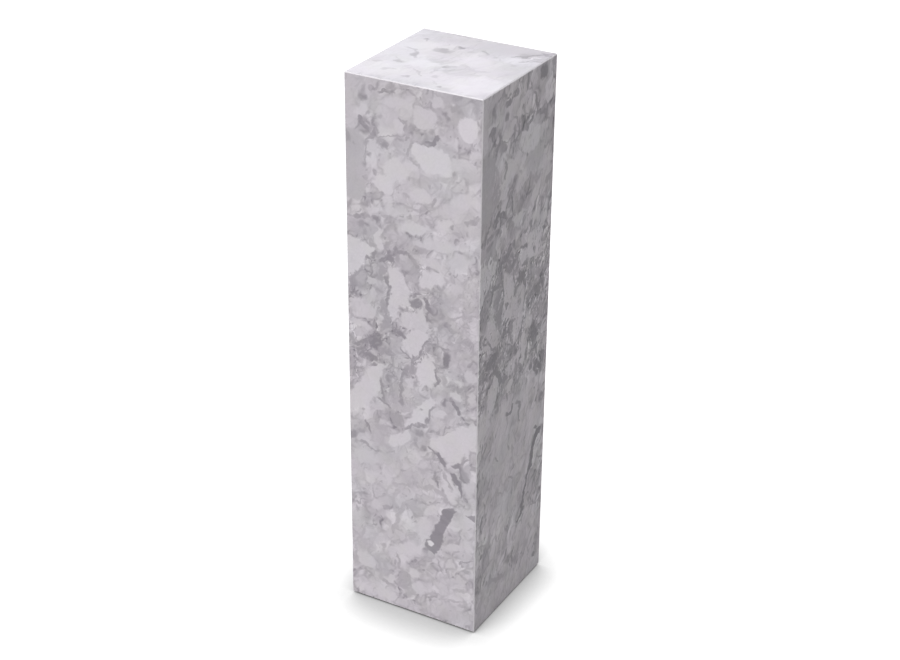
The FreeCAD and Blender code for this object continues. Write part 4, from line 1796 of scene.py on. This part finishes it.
@dataclass
class StoneShell:
    """The five slabs and the epoxy that joins them."""

    shared_above: float = 440.0
    worn_above: float = 410.0

    def build(self) -> None:
        """Dress each slab in its own cut of the marble."""
        zones = layers("zones", SIDE_ZONES)
        common = layers("fragments", SIDE_CLASTS) + layers("seams", SIDE_DARKS, True)
        side = common + layers("front_marks", FRONT_MARKS)
        high = self.shared_above
        right_zones = layers("right_zones", above(SIDE_ZONES, high))
        right_zones += layers("right_marks_and_painted_light", RIGHT_MARKS_AND_PAINTED_LIGHT[:RIGHT_BROAD])
        right = layers("right_fragments", above(SIDE_CLASTS, high), True)
        right += layers("right_seams", above(SIDE_DARKS, high), True)
        own = RIGHT_MARKS_AND_PAINTED_LIGHT[RIGHT_BROAD:]
        right += layers("right_worn", above(own, self.worn_above), True)
        right += layers("right_own", tuple(mark for mark in own if mark.height <= self.worn_above))
        finishes = {
            "slab_front": MarbleFinish("marble_front", 0.0, zones, side),
            "slab_right": MarbleFinish(
                "marble_right",
                -90.0,
                right_zones,
                right,
                drift=(17.0, 140.0, 60.0),
                ground=0.87,
                liveliness=1.7,
                lean=68.0,
                stretch=1.5,
                mottle=0.21,
                contrast=1.27,
                lift=0.035,
                pebble=7.0,
                wear=0.8,
                scatter=0.6,
                fading=(300.0, 400.0),
                colourful=0.6,
            ),
            "slab_back": MarbleFinish("marble_back", -180.0, zones, side, (40.0, 300.0, 90.0)),
            "slab_left": MarbleFinish("marble_left", -270.0, zones, side, (80.0, 500.0, 20.0)),
            "slab_top": MarbleFinish(
                "marble_top",
                0.0,
                (),
                layers("top_marks_and_painted_light", TOP_FIGURE_AND_PAINTED_LIGHT),
                lying=True,
                ground=0.93,
                liveliness=0.4,
                lean=69.0,
                stretch=1.5,
                mottle=0.05,
                contrast=1.25,
                # painted light: the top is made cooler, as the light from above is
                tint=(0.98, 1.0, 1.01, 1.0),
            ),
        }
        for node, finish in finishes.items():
            dress(node, new_material(finish.name, finish))
        dress("mitre_epoxy", new_material("epoxy", EpoxyFinish()))


@dataclass
class Carcass:
    """The hidden plywood box, its adhesive and its staples."""

    walls: tuple[str, ...] = ("carcass_front", "carcass_right", "carcass_back", "carcass_left")
    shelves: tuple[str, ...] = ("base_board", "cap_board", "diaphragm_lower", "diaphragm_upper")
    staples: tuple[str, ...] = ("corner_staples", "base_staples", "diaphragm_staples", "cap_staples")
    veneer_mm: float = 1.4

    def board(self, node: str, along: int) -> None:
        """Dress one board in plywood that lies the way the board does.

        Args:
            node: The board's node.
            along: The axis that its face grain follows.
        """
        low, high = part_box(node)
        spans = [(high[axis] - low[axis]) * MM_PER_M for axis in range(3)]
        across = spans.index(min(spans))
        plies = 2 * round(spans[across] / self.veneer_mm / 2.0) + 1
        finish = PlywoodFinish(across, along, low[across] * MM_PER_M, plies, spans[across])
        dress(node, new_material("plywood_" + node, finish))

    def build(self) -> None:
        """Dress every piece of the carcass."""
        for node in self.walls:
            self.board(node, 2)
        for node in self.shelves:
            self.board(node, 0)
        dress("bedding_adhesive", new_material("adhesive", AdhesiveFinish()))
        wire = new_material("staple_wire", WireFinish())
        for node in self.staples:
            dress(node, wire)


@dataclass
class Glides:
    """The four felt glides under the base board."""

    nodes: tuple[str, ...] = (
        "felt_glide_front_left",
        "felt_glide_front_right",
        "felt_glide_back_left",
        "felt_glide_back_right",
    )
    sides: int = 96
    rings: Triple = (0.18, 0.3, 0.5)
    ring_share: float = 0.6
    level_from: float = 0.5
    sharp_from: float = 1.0
    rim_segments: int = 3
    rim_mm: float = 0.7
    fuzz_mm: float = 0.22
    dish_mm: float = 0.25
    grain_mm: float = 1.1
    edge_from: float = 0.93

    def disc(self, node: str, material: bpy.types.Material) -> bpy.types.Object:
        """Punch one glide out of felt, with a soft rim and a slightly trodden underside.

        Args:
            node: The node that it replaces.
            material: The felt.

        Returns:
            The glide.
        """
        low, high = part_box(node)
        middle = Vector([(low[axis] + high[axis]) / 2.0 for axis in range(3)])
        radius = (high[0] - low[0]) / 2.0
        height = high[2] - low[2]
        rim = self.rim_mm / MM_PER_M
        shape = bmesh.new()
        bmesh.ops.create_circle(shape, cap_ends=True, segments=self.sides, radius=radius)
        made = bmesh.ops.extrude_face_region(shape, geom=shape.faces[:])
        lifted = [part for part in made["geom"] if isinstance(part, bmesh.types.BMVert)]
        bmesh.ops.translate(shape, verts=lifted, vec=(0.0, 0.0, height))
        bmesh.ops.recalc_face_normals(shape, faces=shape.faces[:])
        caps = [face for face in shape.faces if abs(face.normal.z) > self.level_from]
        for share in self.rings:
            width = radius * share * self.ring_share
            inset = bmesh.ops.inset_region(shape, faces=caps, thickness=width, use_even_offset=True)
            LOG.debug("%s: %d faces inset", node, len(inset["faces"]))
        paired = [edge for edge in shape.edges if len(edge.link_faces) == 2]
        sharp = [edge for edge in paired if edge.calc_face_angle(0.0) > self.sharp_from]
        bmesh.ops.bevel(
            shape,
            geom=sharp,
            offset=rim,
            offset_type="OFFSET",
            affect="EDGES",
            segments=self.rim_segments,
            profile=0.5,
            material=-1,
        )
        fuzz = self.fuzz_mm / MM_PER_M
        for vert in shape.verts:
            out = Vector((vert.co.x, vert.co.y, 0.0))
            ring = out.length / radius
            seed = (vert.co + middle) * (MM_PER_M / self.grain_mm)
            rough = abs(noise.noise(seed))
            if ring > self.edge_from:
                vert.co -= out.normalized() * (rough * fuzz)
            elif vert.co.z < height / 2.0:
                vert.co.z += (self.dish_mm / MM_PER_M) * rough * (1.0 - ring)
        bmesh.ops.translate(shape, verts=shape.verts[:], vec=(middle.x, middle.y, low[2]))
        mesh = bpy.data.meshes.new(node + "_felt")
        shape.to_mesh(mesh)
        shape.free()
        for face in mesh.polygons:
            face.use_smooth = True
        mesh.materials.append(material)
        piece = bpy.data.objects.new(node + "_felt", mesh)
        bpy.context.scene.collection.objects.link(piece)
        return piece

    def build(self) -> None:
        """Make each glide and let it stand for its node."""
        felt = new_material("felt", FeltFinish())
        for node in self.nodes:
            piece = self.disc(node, felt)
            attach(piece, ROOT_BODY)
            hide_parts(node)
            LOG.info("%s: %d faces", piece.name, len(piece.data.polygons))


def main() -> None:
    """Build the studio and dress each sub-assembly in order."""
    logging.basicConfig(level=logging.INFO, format="%(name)s: %(message)s")
    Studio().build()
    StoneShell().build()
    Carcass().build()
    Glides().build()


if __name__ == "__main__":
    main()
